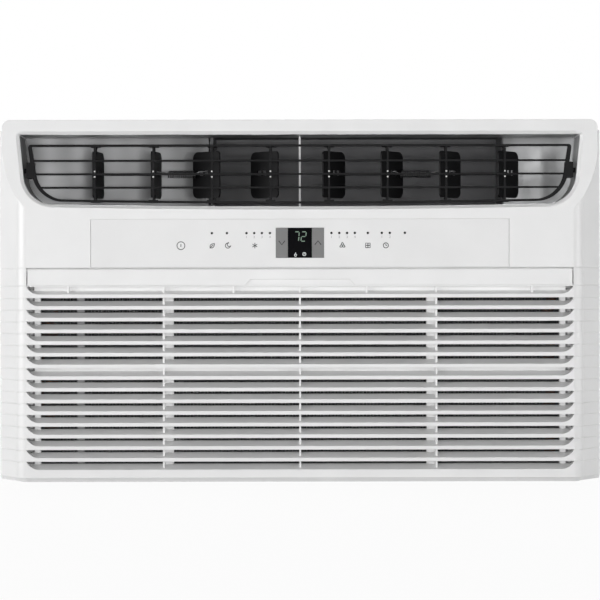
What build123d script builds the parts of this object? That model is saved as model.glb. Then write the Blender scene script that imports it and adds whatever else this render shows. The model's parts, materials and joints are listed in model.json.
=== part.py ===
"""Window air conditioner: a slide-in chassis with a white front panel, louvred outlet and slatted intake.

Millimetres. +Z is up, the front faces -Y, +X is to the right of someone who looks at the front.
The origin is under the middle of the object, on the surface that it stands on.
Depths are measured back from the front face.
"""
import math
import os

from build123d import *

os.makedirs("parts", exist_ok=True)

# Size of the chassis and hood; the panel's skirt stands out beyond the width
width = 609.6
height = 371.0
depth = 427.0
front = -depth / 2

# Front panel
panel_depth = 60.0
panel_wall = 2.5
panel_corner = 12.0
skirt_overhang = 7.4
skirt_setback = 40.0
flange_lap = 6.0
panel_bevel = 4.5
hood_corner = 8.0
hood_side_z = 350.0
hood_bend_half = 297.5
hood_bend_z = 306.0
hood_foot_z = 279.0
groove_depth = 0.7
groove_height = 0.8

# Air outlet in the hood
outlet_top_z = 359.3
outlet_top_half = 291.0
outlet_side_z = 312.0
outlet_side_half = 286.5
outlet_foot_z = 281.5
outlet_foot_half = 250.0
outlet_sag = 2.5
outlet_corner = 5.0
outlet_chamfer = 3.0
outlet_depth = 50.0
outlet_lip = 3.0
outlet_rib = 2.0
outlet_rib_setback = 41.0

# Intake grille
grille_half = 280.0
grille_top_z = 219.6
slat_count = 16
slat_pitch = 11.967
slat_first_z = 188.6
slat_face = 3.8
slat_rise = 5.2
slat_depth = 13.0
slat_back = 2.2
slot_end = 13.0
slot_end_rise = 7.2
grille_rib = 2.0
grille_rib_spacing = 139.8
top_slot_ribs = (68.4, 238.0)
grille_end = 2.5
grille_depth = 16.0
top_wall = 1.5
top_wall_setback = 9.0
end_post = 6.0
end_post_gap = 7.0
rib_post = 9.7
stop_bar = 6.0
stop_bar_slat = 6
filter_shelf = 2.0

# Filter door
door_height = 17.4
door_thickness = 3.0
door_gap = 0.6
door_side_gap = 1.0
door_knuckle = 2.0
door_pin = 1.0
door_pin_length = 4.0
door_recess_top = 51.0
door_recess_foot = 56.0
door_recess_height = 6.0
door_recess_depth = 1.8
door_rail = 3.0
door_stop = 1.5
door_stop_lap = 4.0
running_clearance = 0.05

# Filter
filter_width = 552.0
filter_height = 186.0
filter_thickness = 5.0
filter_border = 7.0
filter_setback = 18.5
filter_play = 0.4
lip_depth = 2.0
lip_width = 12.0
filter_net = 1.0
filter_rib_places = (-226.0, 135.0)
net_columns = 24
net_rows = 10
net_strand = 1.6

# Controls
insert_half = 214.3
insert_top_z = 269.2
insert_gap = 0.4
insert_top_gap = 0.1
insert_flange = 4.0
insert_flange_thickness = 2.0
film = 0.5
display_z = 244.9
display_height = 30.6
display_width = 24.4
arrow_key_width = 12.2
display_gap = 0.2
retainer = 1.2
retainer_thickness = 1.0
key_z = 242.1
key_places = {"power": -121.8, "eco": -89.6, "sleep": -73.7, "mode": -46.1,
              "fan_speed": 43.5, "filter": 69.6, "timer": 88.0}
key_radius = 4.2
key_clearance = 0.3
key_flange = 1.3
key_stem = 1.5
key_travel = 0.3
lamp_z = 254.9
lamp_radius = 1.2
lamp_clearance = 0.1
lamp_places = (-90.1, -74.7, -54.7, -46.8, -38.9, -30.7, 32.3, 40.3, 48.3, 56.3, 69.6, 83.9, 92.1, 107.5)
board_setback = 11.0
board_thickness = 1.6
board_half = 140.0
board_margin = 3.0
switch_size = 6.0
switch_height = 2.6
switch_button = 0.4
boss_radius = 3.0

# Louvre frame and vanes
louvre_setback = 7.0
louvre_bar_depth = 3.0
louvre_top_z = 346.2
louvre_top_half = 279.5
louvre_side_z = 316.0
louvre_side_half = 275.3
louvre_foot_z = 287.8
louvre_foot_half = 247.0
louvre_sag = 2.4
louvre_corner = 3.2
louvre_rim = 2.2
louvre_side_rim = 4.4
louvre_bar = 1.9
louvre_bars_z = (329.6, 315.8, 302.0)
louvre_post = 1.8
tilt_z = 320.0
tilt_setback = 20.0
tilt_pin = 2.5
tilt_lug = 16.0
tilt_lug_width = 5.0
vane_pitch = 60.2
vane_count = 8
vane_setback = 22.0
vane_foot_z = 292.0
vane_top_z = 340.0
vane_ahead = 10.5
vane_behind = 27.0
vane_thickness = 1.8
vane_round = 7.0
vane_pivot = 1.5
vane_angles = (11.0, 11.0, -49.0, -49.0, 38.0, 38.0, 38.0, 38.0)
seat_width = 10.0
seat_thickness = 2.0
link_z = 318.0
link_arm = 12.0
link_pin = 1.25
link_eye = 2.9
link_clearance = 0.06
link_bar = 2.4
link_thickness = 2.0
link_drop = 1.4
notch_height = 5.4
notch_reach = 6.2

# Vane springs
spring_wire = 0.45
spring_radius = 2.45
spring_turns = 11
spring_rise = 1.4
spring_bend = 1.5
spring_lead_in = 8.5
spring_lead_out = 13.0
hook_wrap = 240.0

# Air duct behind the outlet
duct_floor_z = 274.5
duct_wall = 3.0
duct_length = 38.0
duct_clearance = 0.5
mouth_left = -92.0
mouth_right = 215.0

# Case, base pan and rear guard
case_inset = 1.5
case_sheet = 1.2
case_foot_z = 3.0
case_slot_length = 38.0
case_slot_height = 4.0
case_slot_spread = 1.4
case_slot_pitch = 11.0
case_slot_rows = 16
case_slot_columns = 3
pan_sheet = 1.5
pan_wall_z = 26.0
guard_thickness = 3.0
guard_border = 14.0
guard_bar = 3.0
guard_columns = 8
guard_rows = 30
bolt_hole = 3.5
bolt_spacing_x = 530.0
bolt_spacing_y = 200.0
bolt_front = 130.0
screw_shank = 2.0
screw_head = 4.0
screw_clearance = 0.1
screw_z = 15.0
screw_depths = (100.0, 240.0, 380.0)

# Coils
tray_front = 28.0
tray_wall = 3.0
tray_floor_z = 8.0
tray_top_z = 22.0
tray_half = 284.0
tube_pitch = 25.0
tube_radius = 4.0
end_plate = 1.2
evaporator_half = 250.0
evaporator_front = 34.0
evaporator_depth = 38.0
evaporator_rows = 10
condenser_half = 266.0
condenser_front = 366.0
condenser_depth = 44.0
condenser_rows = 12
condenser_foot_z = 27.0

# Fans
fan_x = 66.0
fan_z = 160.0
shaft_radius = 6.0
shaft_front = 118.0
shaft_back = 316.0
wheel_radius = 95.0
wheel_front = 100.0
wheel_depth = 58.0
wheel_rim = 9.0
wheel_plate = 3.0
wheel_blades = 36
wheel_blade = 1.6
hub_radius = 14.0
hub_depth = 24.0
scroll_gap = 9.0
scroll_wall = 3.0
scroll_depth = 75.0
scroll_inlet = 82.0
tongue_angle = 150.0
bulkhead_sheet = 1.2
bulkhead_notch = 36.0
motor_radius = 58.0
motor_front = 190.0
motor_depth = 72.0
motor_seat = 0.1
bracket_half = 46.0
bracket_sheet = 2.5
axial_radius = 134.0
axial_hub = 32.0
axial_middle = 294.0
axial_hub_depth = 26.0
axial_blades = 5
axial_blade = 2.0
axial_tip = 1.4
axial_pitch_angle = 28.0
slinger_ring = 7.0
slinger_depth = 18.0
shroud_setback = 340.0
shroud_ring = 38.0
shroud_gap = 6.0
shroud_top_z = 345.0

# Compressor and pipes
compressor_x = -195.0
compressor_setback = 250.0
compressor_radius = 58.0
compressor_height = 236.0
compressor_dome = 24.0
mount_radius = 10.0
mount_height = 12.5
mount_circle = 72.0
foot_plate = 3.0
stub_radius = 6.5
stub_length = 12.0
accumulator_x = -108.0
accumulator_setback = 215.0
accumulator_radius = 22.0
accumulator_foot_z = 92.0
accumulator_height = 128.0
pipe_radius = 4.0
pipe_bend = 11.0
pipe_run_x = -286.0
drier_radius = 9.0
drier_length = 70.0
capillary_radius = 1.2
capillary_coil = 13.0
capillary_turns = 4
capillary_pitch = 6.0

# Electrics
box_left = 226.0
box_right = 292.0
box_front = 100.0
box_foot_z = 120.0
box_top_z = 262.0
box_sheet = 1.5
capacitor_radius = 20.0
capacitor_height = 80.0
gland_radius = 7.0
gland_bore = 4.0
gland_flange = 10.0
gland_setback = 95.0
gland_z = 45.0


def front_plane(setback):
    """Plane parallel to the front face, this far behind it; its sketches read as seen from the front."""
    return Plane.XZ.offset(-(front + setback))


def body_face(inset, rear):
    """Plan of the panel's lower body: flat front, round corners, sides that flare to a straight skirt."""
    radius = panel_corner - inset
    shoulder = grille_half + radius
    skirt_half = width / 2 + skirt_overhang - inset
    corner_y = front + panel_corner
    middle = radius * math.sin(math.radians(45))
    with BuildSketch(mode=Mode.PRIVATE) as plan:
        with BuildLine():
            Line((-grille_half, front + inset), (grille_half, front + inset))
            for side in (1, -1):
                ThreePointArc((side * grille_half, front + inset),
                              (side * (grille_half + middle), corner_y - middle),
                              (side * shoulder, corner_y))
                Polyline((side * shoulder, corner_y), (side * skirt_half, front + skirt_setback),
                         (side * skirt_half, front + rear))
            Line((-skirt_half, front + rear), (skirt_half, front + rear))
        make_face()
    return plan.sketch


def hood_face(inset):
    """Front outline of the hood: full width at the top, rounding in to the flat of the lower body."""
    side_half = width / 2 - inset
    foot_half = grille_half - inset
    foot_z = hood_foot_z + inset
    with BuildSketch(mode=Mode.PRIVATE) as outline:
        with BuildLine():
            Line((-side_half, height - inset), (side_half, height - inset))
            for side in (1, -1):
                Line((side * side_half, height - inset), (side * side_half, hood_side_z))
                ThreePointArc((side * side_half, hood_side_z),
                              (side * (hood_bend_half - inset), hood_bend_z + inset / 2),
                              (side * foot_half, foot_z))
            Line((-foot_half, foot_z), (foot_half, foot_z))
        make_face()
    return outline.sketch


def bowl_face(top_half, top_z, side_half, side_z, foot_half, foot_z, sag, corner):
    """A straight top, slanted sides, round corners and a bottom edge that sags in the middle."""
    with BuildSketch(mode=Mode.PRIVATE) as outline:
        with BuildLine():
            Line((-top_half, top_z), (top_half, top_z))
            for side in (1, -1):
                top = Vector(side * top_half, top_z)
                shoulder = Vector(side * side_half, side_z)
                Line(top, shoulder)
                TangentArc(shoulder, (side * foot_half, foot_z), tangent=shoulder - top)
            ThreePointArc((-foot_half, foot_z), (0, foot_z - sag), (foot_half, foot_z))
        make_face()
        fillet(outline.vertices().group_by(Axis.Y)[-1], radius=corner)
    return outline.sketch


def outlet_face(grow):
    """Outline of the air outlet, grown by a margin."""
    with BuildSketch(mode=Mode.PRIVATE) as outline:
        add(bowl_face(outlet_top_half, outlet_top_z, outlet_side_half, outlet_side_z,
                      outlet_foot_half, outlet_foot_z, outlet_sag, outlet_corner))
        offset(amount=grow)
    return outline.sketch


def block(left, right, near, far, foot, top, mode=Mode.ADD):
    """A box given by its sides: left and right in X, near and far as depths, foot and top in Z."""
    with Locations(((left + right) / 2, front + (near + far) / 2, (foot + top) / 2)):
        Box(right - left, far - near, top - foot, mode=mode)


def lying_rod(x, z, radius, near, far, mode=Mode.ADD):
    """A round rod along Y between two depths."""
    with Locations((x, front + (near + far) / 2, z)):
        Cylinder(radius, far - near, rotation=(90, 0, 0), mode=mode)


# Levels shared by the grille, the door and the filter
slat_levels = [slat_first_z - index * slat_pitch for index in range(slat_count)]
grille_foot_z = slat_levels[-1] + slat_face
slot_end_radius = (slot_end ** 2 + slot_end_rise ** 2) / (2 * slot_end_rise)
door_top_z = grille_top_z - door_gap
door_foot_z = door_top_z - door_height
door_axis_z = door_top_z - door_knuckle
shelf_top_z = grille_foot_z - filter_shelf
filter_back = filter_setback + filter_thickness
lip_setback = filter_back + filter_play
rail_setback = door_thickness + door_gap / 2
rail_top_z = door_foot_z + door_rail / 2
stop_lip_setback = 2 * door_knuckle + door_gap
grille_reach = lip_setback + lip_depth
stop_setback = filter_setback - filter_play
stop_front = slat_depth - panel_wall / 2
tunnel_inset = outlet_chamfer - outlet_lip / 2
outlet_slope = (outlet_top_half - outlet_side_half) / (outlet_top_z - outlet_side_z)
tilt_pin_end = outlet_side_half + outlet_slope * (tilt_z - outlet_side_z) - tunnel_inset

# Hairline grooves on the panel's sides, level with the slots
with BuildPart() as side_grooves:
    for level in [grille_top_z, door_foot_z] + slat_levels[:-1]:
        with BuildSketch(Plane.XY.offset(level - groove_height)):
            for side in (1, -1):
                with Locations((side * (grille_half + panel_corner * 2), front + panel_depth / 2)):
                    Rectangle(panel_corner * 4, panel_depth * 2)
            add(body_face(groove_depth, panel_depth * 2), mode=Mode.SUBTRACT)
        extrude(amount=groove_height)

# Front panel: the lower body and the hood as one shell, with a flange behind that the case stands against
skirt_top_z = height - hood_corner
flange_half = width / 2 - flange_lap
with BuildPart() as hood:
    extrude(front_plane(0) * hood_face(0), amount=-panel_depth)
    fillet(hood.edges().filter_by(Axis.Y).group_by(Axis.Z)[-1], radius=hood_corner)
with BuildPart() as front_panel:
    extrude(body_face(0, panel_depth), amount=skirt_top_z)
    bottom = front_panel.faces().sort_by(Axis.Z)[0]
    chamfer(bottom.edges().sort_by(Axis.Y)[:5], length=panel_bevel)
    add(hood.part)
    extrude(Plane.XY.offset(panel_wall) * body_face(panel_wall, panel_depth - panel_wall),
            amount=skirt_top_z - 2 * panel_wall, mode=Mode.SUBTRACT)
    extrude(front_plane(panel_wall) * hood_face(panel_wall), amount=-panel_depth, mode=Mode.SUBTRACT)
    block(-flange_half, flange_half, panel_depth - 2 * panel_wall, panel_depth + 1,
          panel_wall, height - panel_wall, Mode.SUBTRACT)
    add(side_grooves.part, mode=Mode.SUBTRACT)
    extrude(front_plane(0) * outlet_face(outlet_lip - outlet_chamfer), amount=-outlet_depth)
    extrude(front_plane(-1) * outlet_face(-outlet_chamfer), amount=-outlet_depth - 2, mode=Mode.SUBTRACT)
    loft([(front_plane(0) * outlet_face(0)).face(),
          (front_plane(outlet_chamfer) * outlet_face(-outlet_chamfer)).face()],
         ruled=True, mode=Mode.SUBTRACT)
    block(-outlet_rib / 2, outlet_rib / 2, outlet_rib_setback, outlet_depth,
          outlet_foot_z - outlet_sag + tunnel_inset, outlet_top_z - tunnel_inset)
    for side in (1, -1):
        with Locations((side * tilt_pin_end, front + tilt_setback, tilt_z)):
            Cylinder(tilt_pin + running_clearance, 4 * outlet_lip, rotation=(0, 90, 0), mode=Mode.SUBTRACT)
    block(-insert_half, insert_half, -1, panel_wall + 1, grille_top_z - 1, insert_top_z, Mode.SUBTRACT)
    block(-grille_half, grille_half, -1, panel_wall + 1, grille_foot_z, grille_top_z, Mode.SUBTRACT)
    with BuildSketch(Plane.YZ):
        for level in slat_levels:
            with BuildLine():
                slat_top = level + slat_face + slat_rise
                Polyline((front, level), (front, level + slat_face), (front + slat_depth, slat_top),
                         (front + slat_depth, slat_top - slat_back), close=True)
            make_face()
    extrude(amount=grille_half + grille_end / 2, both=True)
    with BuildSketch(front_plane(0)):
        for level in slat_levels:
            for side in (1, -1):
                corner = Vector(side * grille_half, level + slat_face)
                tip = corner + Vector(0, slot_end_rise)
                foot = corner - Vector(side * slot_end, 0)
                with BuildLine():
                    Polyline(foot, corner, tip)
                    RadiusArc(tip, foot, side * slot_end_radius)
                make_face()
    extrude(amount=-slat_depth)
    for side in (1, -1):
        inner = side * grille_half
        outer = side * (grille_half + grille_end)
        lip = side * (grille_half - lip_width)
        block(min(inner, outer), max(inner, outer), panel_wall / 2, grille_reach,
              shelf_top_z - filter_shelf, door_top_z)
        block(min(lip, outer), max(lip, outer), lip_setback, grille_reach,
              shelf_top_z - filter_shelf, rail_top_z - door_rail)
        with Locations((side * (grille_half + grille_end / 2), front + door_knuckle, door_axis_z)):
            Cylinder(door_pin + running_clearance, grille_end * 2, rotation=(0, 90, 0), mode=Mode.SUBTRACT)
    block(-grille_half - grille_end, grille_half + grille_end, panel_wall / 2, grille_reach,
          shelf_top_z - filter_shelf, shelf_top_z)
    block(-grille_half - 1, grille_half + 1, rail_setback, grille_depth, rail_top_z - door_rail, rail_top_z)
    for place in (-grille_rib_spacing, 0, grille_rib_spacing):
        block(place - grille_rib / 2, place + grille_rib / 2, slat_face, grille_depth,
              shelf_top_z, rail_top_z)
    for place in top_slot_ribs:
        for side in (1, -1):
            block(side * place - grille_rib / 2, side * place + grille_rib / 2, rail_setback, grille_depth,
                  slat_first_z + slat_face, rail_top_z)
    block(-grille_half - 1, grille_half + 1, stop_lip_setback, stop_lip_setback + door_stop,
          door_top_z - door_stop_lap, grille_top_z + door_rail)
    for place in (-grille_rib_spacing, 0, grille_rib_spacing):
        block(place - grille_rib / 2, place + grille_rib / 2, stop_lip_setback, grille_depth - panel_wall,
              rail_top_z - door_rail, grille_top_z + door_rail)
    post_half = grille_half - end_post_gap
    block(-post_half, post_half, top_wall_setback, top_wall_setback + top_wall,
          slat_first_z + slat_face, rail_top_z)
    for outer, post in ((post_half, end_post), (grille_rib_spacing, rib_post)):
        for side in (1, -1):
            middle = side * (outer - post / 2)
            block(middle - post / 2, middle + post / 2, stop_front, stop_setback, shelf_top_z, rail_top_z)
    stop_bar_z = slat_levels[stop_bar_slat]
    block(-post_half, post_half, stop_front, stop_setback,
          stop_bar_z - stop_bar * 3 / 4, stop_bar_z + stop_bar / 4)
front_panel.part.label = "front_panel"
export_step(front_panel.part, "parts/front_panel.step")

# Filter door: a strip hung on pins in a round top edge, with a finger recess at its foot
door_half = grille_half - door_side_gap
with BuildPart() as filter_door:
    with BuildSketch(Plane.YZ):
        with Locations((front + door_knuckle, door_axis_z)):
            Circle(door_knuckle)
        with Locations((front + door_thickness / 2, (door_foot_z + door_axis_z) / 2)):
            Rectangle(door_thickness, door_axis_z - door_foot_z)
    extrude(amount=door_half, both=True)
    with BuildSketch(front_plane(-1)):
        with BuildLine():
            recess_top_z = door_foot_z + door_recess_height
            Polyline((-door_recess_top, recess_top_z), (door_recess_top, recess_top_z),
                     (door_recess_foot, door_foot_z), (-door_recess_foot, door_foot_z), close=True)
        make_face()
    extrude(amount=-door_recess_depth - 1, mode=Mode.SUBTRACT)
    for side in (1, -1):
        with Locations((side * (door_half + door_pin_length / 2), front + door_knuckle, door_axis_z)):
            Cylinder(door_pin, door_pin_length, rotation=(0, 90, 0))
filter_door.part.label = "filter_door"
export_step(filter_door.part, "parts/filter_door.step")

# Air filter: a frame that stands on the panel's shelf, and the net in it
filter_middle_z = shelf_top_z + filter_height / 2
net_width = filter_width - 2 * filter_border
net_height = filter_height - 2 * filter_border
filter_rib_depth = (filter_thickness - filter_net) / 2
with BuildPart() as filter_frame:
    with BuildSketch(front_plane(filter_setback)):
        with Locations((0, filter_middle_z)):
            Rectangle(filter_width, filter_height)
            Rectangle(net_width, net_height, mode=Mode.SUBTRACT)
    extrude(amount=-filter_thickness)
    for place in filter_rib_places:
        block(place - filter_border / 2, place + filter_border / 2,
              filter_setback, filter_setback + filter_rib_depth,
              shelf_top_z + filter_border / 2, shelf_top_z + filter_height - filter_border / 2)
filter_frame.part.label = "filter_frame"
export_step(filter_frame.part, "parts/filter_frame.step")

with BuildPart() as filter_mesh:
    with BuildSketch(front_plane(filter_setback + filter_rib_depth)):
        with Locations((0, filter_middle_z)):
            Rectangle(net_width, net_height)
            with GridLocations(net_width / net_columns, net_height / net_rows, net_columns, net_rows):
                Rectangle(net_width / net_columns - net_strand, net_height / net_rows - net_strand,
                          mode=Mode.SUBTRACT)
    extrude(amount=-filter_net)
filter_mesh.part.label = "filter_mesh"
export_step(filter_mesh.part, "parts/filter_mesh.step")

# Control insert: a plate in the panel's window with a flange behind the wall, bored for keys and lamps
insert_back = panel_wall + insert_flange_thickness
display_half = display_width / 2 + arrow_key_width + 2 * display_gap
board_foot_z = grille_top_z + 2 * insert_flange
board_top_z = insert_top_z - board_margin
boss_places = [(side * (board_half - 2 * boss_radius), z)
               for side in (1, -1) for z in (board_foot_z + 2 * boss_radius, board_top_z - 2 * boss_radius)]
with BuildPart() as control_insert:
    block(-insert_half + insert_gap, insert_half - insert_gap, film, panel_wall,
          grille_top_z + insert_gap, insert_top_z - insert_top_gap)
    block(-insert_half - insert_flange, insert_half + insert_flange, panel_wall, insert_back,
          grille_top_z + insert_gap, insert_top_z + insert_flange)
    for x, z in boss_places:
        lying_rod(x, z, boss_radius, insert_back, board_setback)
    block(-display_half, display_half, 0, insert_back + 1, display_z - display_height / 2 - display_gap,
          display_z + display_height / 2 + display_gap, Mode.SUBTRACT)
    for place in key_places.values():
        lying_rod(place, key_z, key_radius + key_clearance, 0, insert_back + 1, Mode.SUBTRACT)
    for place in lamp_places:
        lying_rod(place, lamp_z, lamp_radius + lamp_clearance, 0, insert_back + 1, Mode.SUBTRACT)
control_insert.part.label = "control_insert"
export_step(control_insert.part, "parts/control_insert.step")

# Printed film over the insert, with windows for the display keys and the lamps
with BuildPart() as control_film:
    block(-insert_half + insert_gap, insert_half - insert_gap, 0, film,
          grille_top_z + insert_gap, insert_top_z - insert_top_gap)
    block(-display_half, display_half, -1, film + 1, display_z - display_height / 2 - display_gap,
          display_z + display_height / 2 + display_gap, Mode.SUBTRACT)
    for place in lamp_places:
        lying_rod(place, lamp_z, lamp_radius + lamp_clearance, -1, film + 1, Mode.SUBTRACT)
control_film.part.label = "control_film"
export_step(control_film.part, "parts/control_film.step")

# Display window between the two arrow keys
switch_top = board_setback - switch_height - switch_button
lamp_length = board_setback - switch_height
with BuildPart() as display_window:
    block(-display_width / 2, display_width / 2, 0, insert_back,
          display_z - display_height / 2, display_z + display_height / 2)
    block(-display_width / 2, display_width / 2, insert_back, insert_back + retainer_thickness,
          display_z - display_height / 2 - retainer, display_z + display_height / 2 + retainer)
display_window.part.label = "display_window"
export_step(display_window.part, "parts/display_window.step")

# Arrow keys beside the display
arrow_offset = display_width / 2 + display_gap + arrow_key_width / 2
for name, place in (("key_down", -arrow_offset), ("key_up", arrow_offset)):
    with BuildPart() as arrow_key:
        block(place - arrow_key_width / 2, place + arrow_key_width / 2, 0, insert_back,
              display_z - display_height / 2, display_z + display_height / 2)
        block(place - arrow_key_width / 2, place + arrow_key_width / 2, insert_back,
              insert_back + retainer_thickness, display_z - display_height / 2 - retainer,
              display_z + display_height / 2 + retainer)
        lying_rod(place, key_z, key_stem, insert_back, switch_top - key_travel)
    arrow_key.part.label = name
    export_step(arrow_key.part, f"parts/{name}.step")

# Plunger keys that stand behind the film
for name, place in key_places.items():
    with BuildPart() as plunger:
        lying_rod(place, key_z, key_radius, film, insert_back)
        lying_rod(place, key_z, key_radius + key_flange, insert_back, insert_back + retainer_thickness)
        lying_rod(place, key_z, key_stem, insert_back, switch_top - key_travel)
    plunger.part.label = f"key_{name}"
    export_step(plunger.part, f"parts/key_{name}.step")

# Light pipes that carry the lamps to the front
with BuildPart() as indicator_lights:
    for place in lamp_places:
        lying_rod(place, lamp_z, lamp_radius, 0, lamp_length)
indicator_lights.part.label = "indicator_lights"
export_step(indicator_lights.part, "parts/indicator_lights.step")

# Control board on the insert's bosses, with its switches, lamps and digit module
with BuildPart() as control_board:
    block(-board_half, board_half, board_setback, board_setback + board_thickness, board_foot_z, board_top_z)
    for place in list(key_places.values()) + [-arrow_offset, arrow_offset]:
        block(place - switch_size / 2, place + switch_size / 2, board_setback - switch_height, board_setback,
              key_z - switch_size / 2, key_z + switch_size / 2)
        lying_rod(place, key_z, switch_size / 4, switch_top, board_setback)
    for place in lamp_places:
        block(place - lamp_radius, place + lamp_radius, lamp_length, board_setback,
              lamp_z - lamp_radius, lamp_z + lamp_radius)
    block(-display_width / 2 + retainer, display_width / 2 - retainer, insert_back + retainer_thickness,
          board_setback, display_z, display_z + display_height / 2)
control_board.part.label = "control_board"
export_step(control_board.part, "parts/control_board.step")

# Louvre frame: a black grid that tilts on two side pins and carries the vanes in seats behind its bars
vane_places = [(index - (vane_count - 1) / 2) * vane_pitch for index in range(vane_count)]
louvre_slope = (louvre_top_half - louvre_side_half) / (louvre_top_z - louvre_side_z)
louvre_middle_z = (louvre_top_z + louvre_foot_z) / 2
seat_back = vane_setback + 2 * vane_pivot + seat_thickness
lug_half = louvre_side_half + louvre_slope * (tilt_z - louvre_side_z)
louvre_outline = bowl_face(louvre_top_half, louvre_top_z, louvre_side_half, louvre_side_z,
                           louvre_foot_half, louvre_foot_z, louvre_sag, louvre_corner)
louvre_inside = bowl_face(louvre_top_half - louvre_side_rim, louvre_top_z - louvre_rim,
                          louvre_side_half - louvre_side_rim, louvre_side_z,
                          louvre_foot_half - louvre_rim, louvre_foot_z + louvre_rim,
                          louvre_sag, louvre_corner - louvre_rim)
with BuildPart() as louvre_frame:
    with BuildSketch(front_plane(louvre_setback)):
        add(louvre_outline)
        add(louvre_inside, mode=Mode.SUBTRACT)
        for z in louvre_bars_z:
            with Locations((0, z)):
                Rectangle(2 * louvre_top_half, louvre_bar)
        for place in vane_places:
            with Locations((place, louvre_middle_z)):
                Rectangle(louvre_post, louvre_top_z)
        add(louvre_outline, mode=Mode.INTERSECT)
    extrude(amount=-louvre_bar_depth)
    for place in vane_places:
        block(place - seat_width / 2, place + seat_width / 2, louvre_setback, seat_back,
              louvre_top_z - seat_thickness, louvre_top_z)
        block(place - seat_width / 2, place + seat_width / 2, louvre_setback, seat_back,
              louvre_foot_z - seat_thickness / 4, louvre_foot_z + seat_thickness * 3 / 4)
        with Locations((place, front + vane_setback, louvre_middle_z)):
            Cylinder(vane_pivot + running_clearance, 2 * (louvre_top_z - louvre_foot_z), mode=Mode.SUBTRACT)
    for side in (1, -1):
        inner = side * (lug_half - louvre_side_rim / 2)
        outer = side * (lug_half + tilt_lug_width)
        block(min(inner, outer), max(inner, outer), louvre_setback, tilt_setback + 2 * tilt_pin,
              tilt_z - tilt_lug / 2, tilt_z + tilt_lug / 2)
        with Locations((side * (lug_half + tilt_pin_end) / 2, front + tilt_setback, tilt_z)):
            Cylinder(tilt_pin, tilt_pin_end - lug_half, rotation=(0, 90, 0))
louvre_frame.part.label = "louvre_frame"
export_step(louvre_frame.part, "parts/louvre_frame.step")


def pin_place(index):
    """Plan position of a vane's link pin at rest."""
    angle = math.radians(vane_angles[index])
    return Vector(vane_places[index] + link_arm * math.sin(angle),
                  front + vane_setback + link_arm * math.cos(angle))


# Vanes: blades on pivot pins, each with a notch across which a link pin stands
vane_middle_z = (vane_foot_z + vane_top_z) / 2
for index, place in enumerate(vane_places):
    angle = math.radians(vane_angles[index])
    chord = (math.sin(angle), math.cos(angle), 0)
    normal = (math.cos(angle), -math.sin(angle), 0)
    blade_plane = Plane(origin=(place, front + vane_setback, 0), x_dir=chord, z_dir=normal)
    with BuildPart() as vane:
        with BuildSketch(blade_plane) as blade:
            with Locations(((vane_behind - vane_ahead) / 2, vane_middle_z)):
                Rectangle(vane_behind + vane_ahead, vane_top_z - vane_foot_z)
            fillet(blade.vertices().group_by(Axis.X)[-1], radius=vane_round)
            fillet(blade.vertices().group_by(Axis.X)[0], radius=vane_round / 2)
            with Locations((link_arm, link_z)):
                Rectangle(2 * notch_reach, notch_height, mode=Mode.SUBTRACT)
        extrude(amount=vane_thickness / 2, both=True)
        pin = pin_place(index)
        with Locations((pin.X, pin.Y, link_z)):
            Cylinder(link_pin, notch_height + 2 * link_pin)
        pivot_foot_z = louvre_foot_z - seat_thickness / 4
        for foot, top in ((pivot_foot_z, vane_foot_z + 2 * vane_pivot),
                          (vane_top_z - 2 * vane_pivot, louvre_top_z)):
            with Locations((place, front + vane_setback, (foot + top) / 2)):
                Cylinder(vane_pivot, top - foot)
    vane.part.label = f"vane_{index + 1}"
    export_step(vane.part, f"parts/vane_{index + 1}.step")

# Link rods that keep the two vanes of each pair parallel
for pair in range(vane_count // 2):
    first = pin_place(2 * pair)
    second = pin_place(2 * pair + 1)
    with BuildPart() as vane_link:
        with BuildSketch(Plane.XY.offset(link_z - link_drop - link_thickness / 2)):
            with Locations((first + second) / 2):
                Rectangle(second.X - first.X, link_bar)
            for pin in (first, second):
                with Locations(pin):
                    Circle(link_eye)
                    Circle(link_pin + link_clearance, mode=Mode.SUBTRACT)
        extrude(amount=link_thickness)
    vane_link.part.label = f"vane_link_{pair + 1}"
    export_step(vane_link.part, f"parts/vane_link_{pair + 1}.step")


def biarc(start, start_way, end, end_way):
    """Two arcs that leave start and reach end along the given directions, or one line if it is straight."""
    step = end - start
    if start_way.get_angle(step) < 0.01 and end_way.get_angle(step) < 0.01:
        Line(start, end)
        return
    along = step.dot(start_way + end_way)
    turn = 2 * (1 - start_way.dot(end_way))
    reach = step.dot(step) / (2 * along)
    if turn > 1e-9:
        reach = (math.sqrt(along ** 2 + turn * step.dot(step)) - along) / turn
    middle = (start + end + (start_way - end_way) * reach) / 2
    middle_way = step - (start_way + end_way) * reach
    TangentArc(start, middle, tangent=start_way)
    TangentArc(middle, end, tangent=middle_way)


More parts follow.
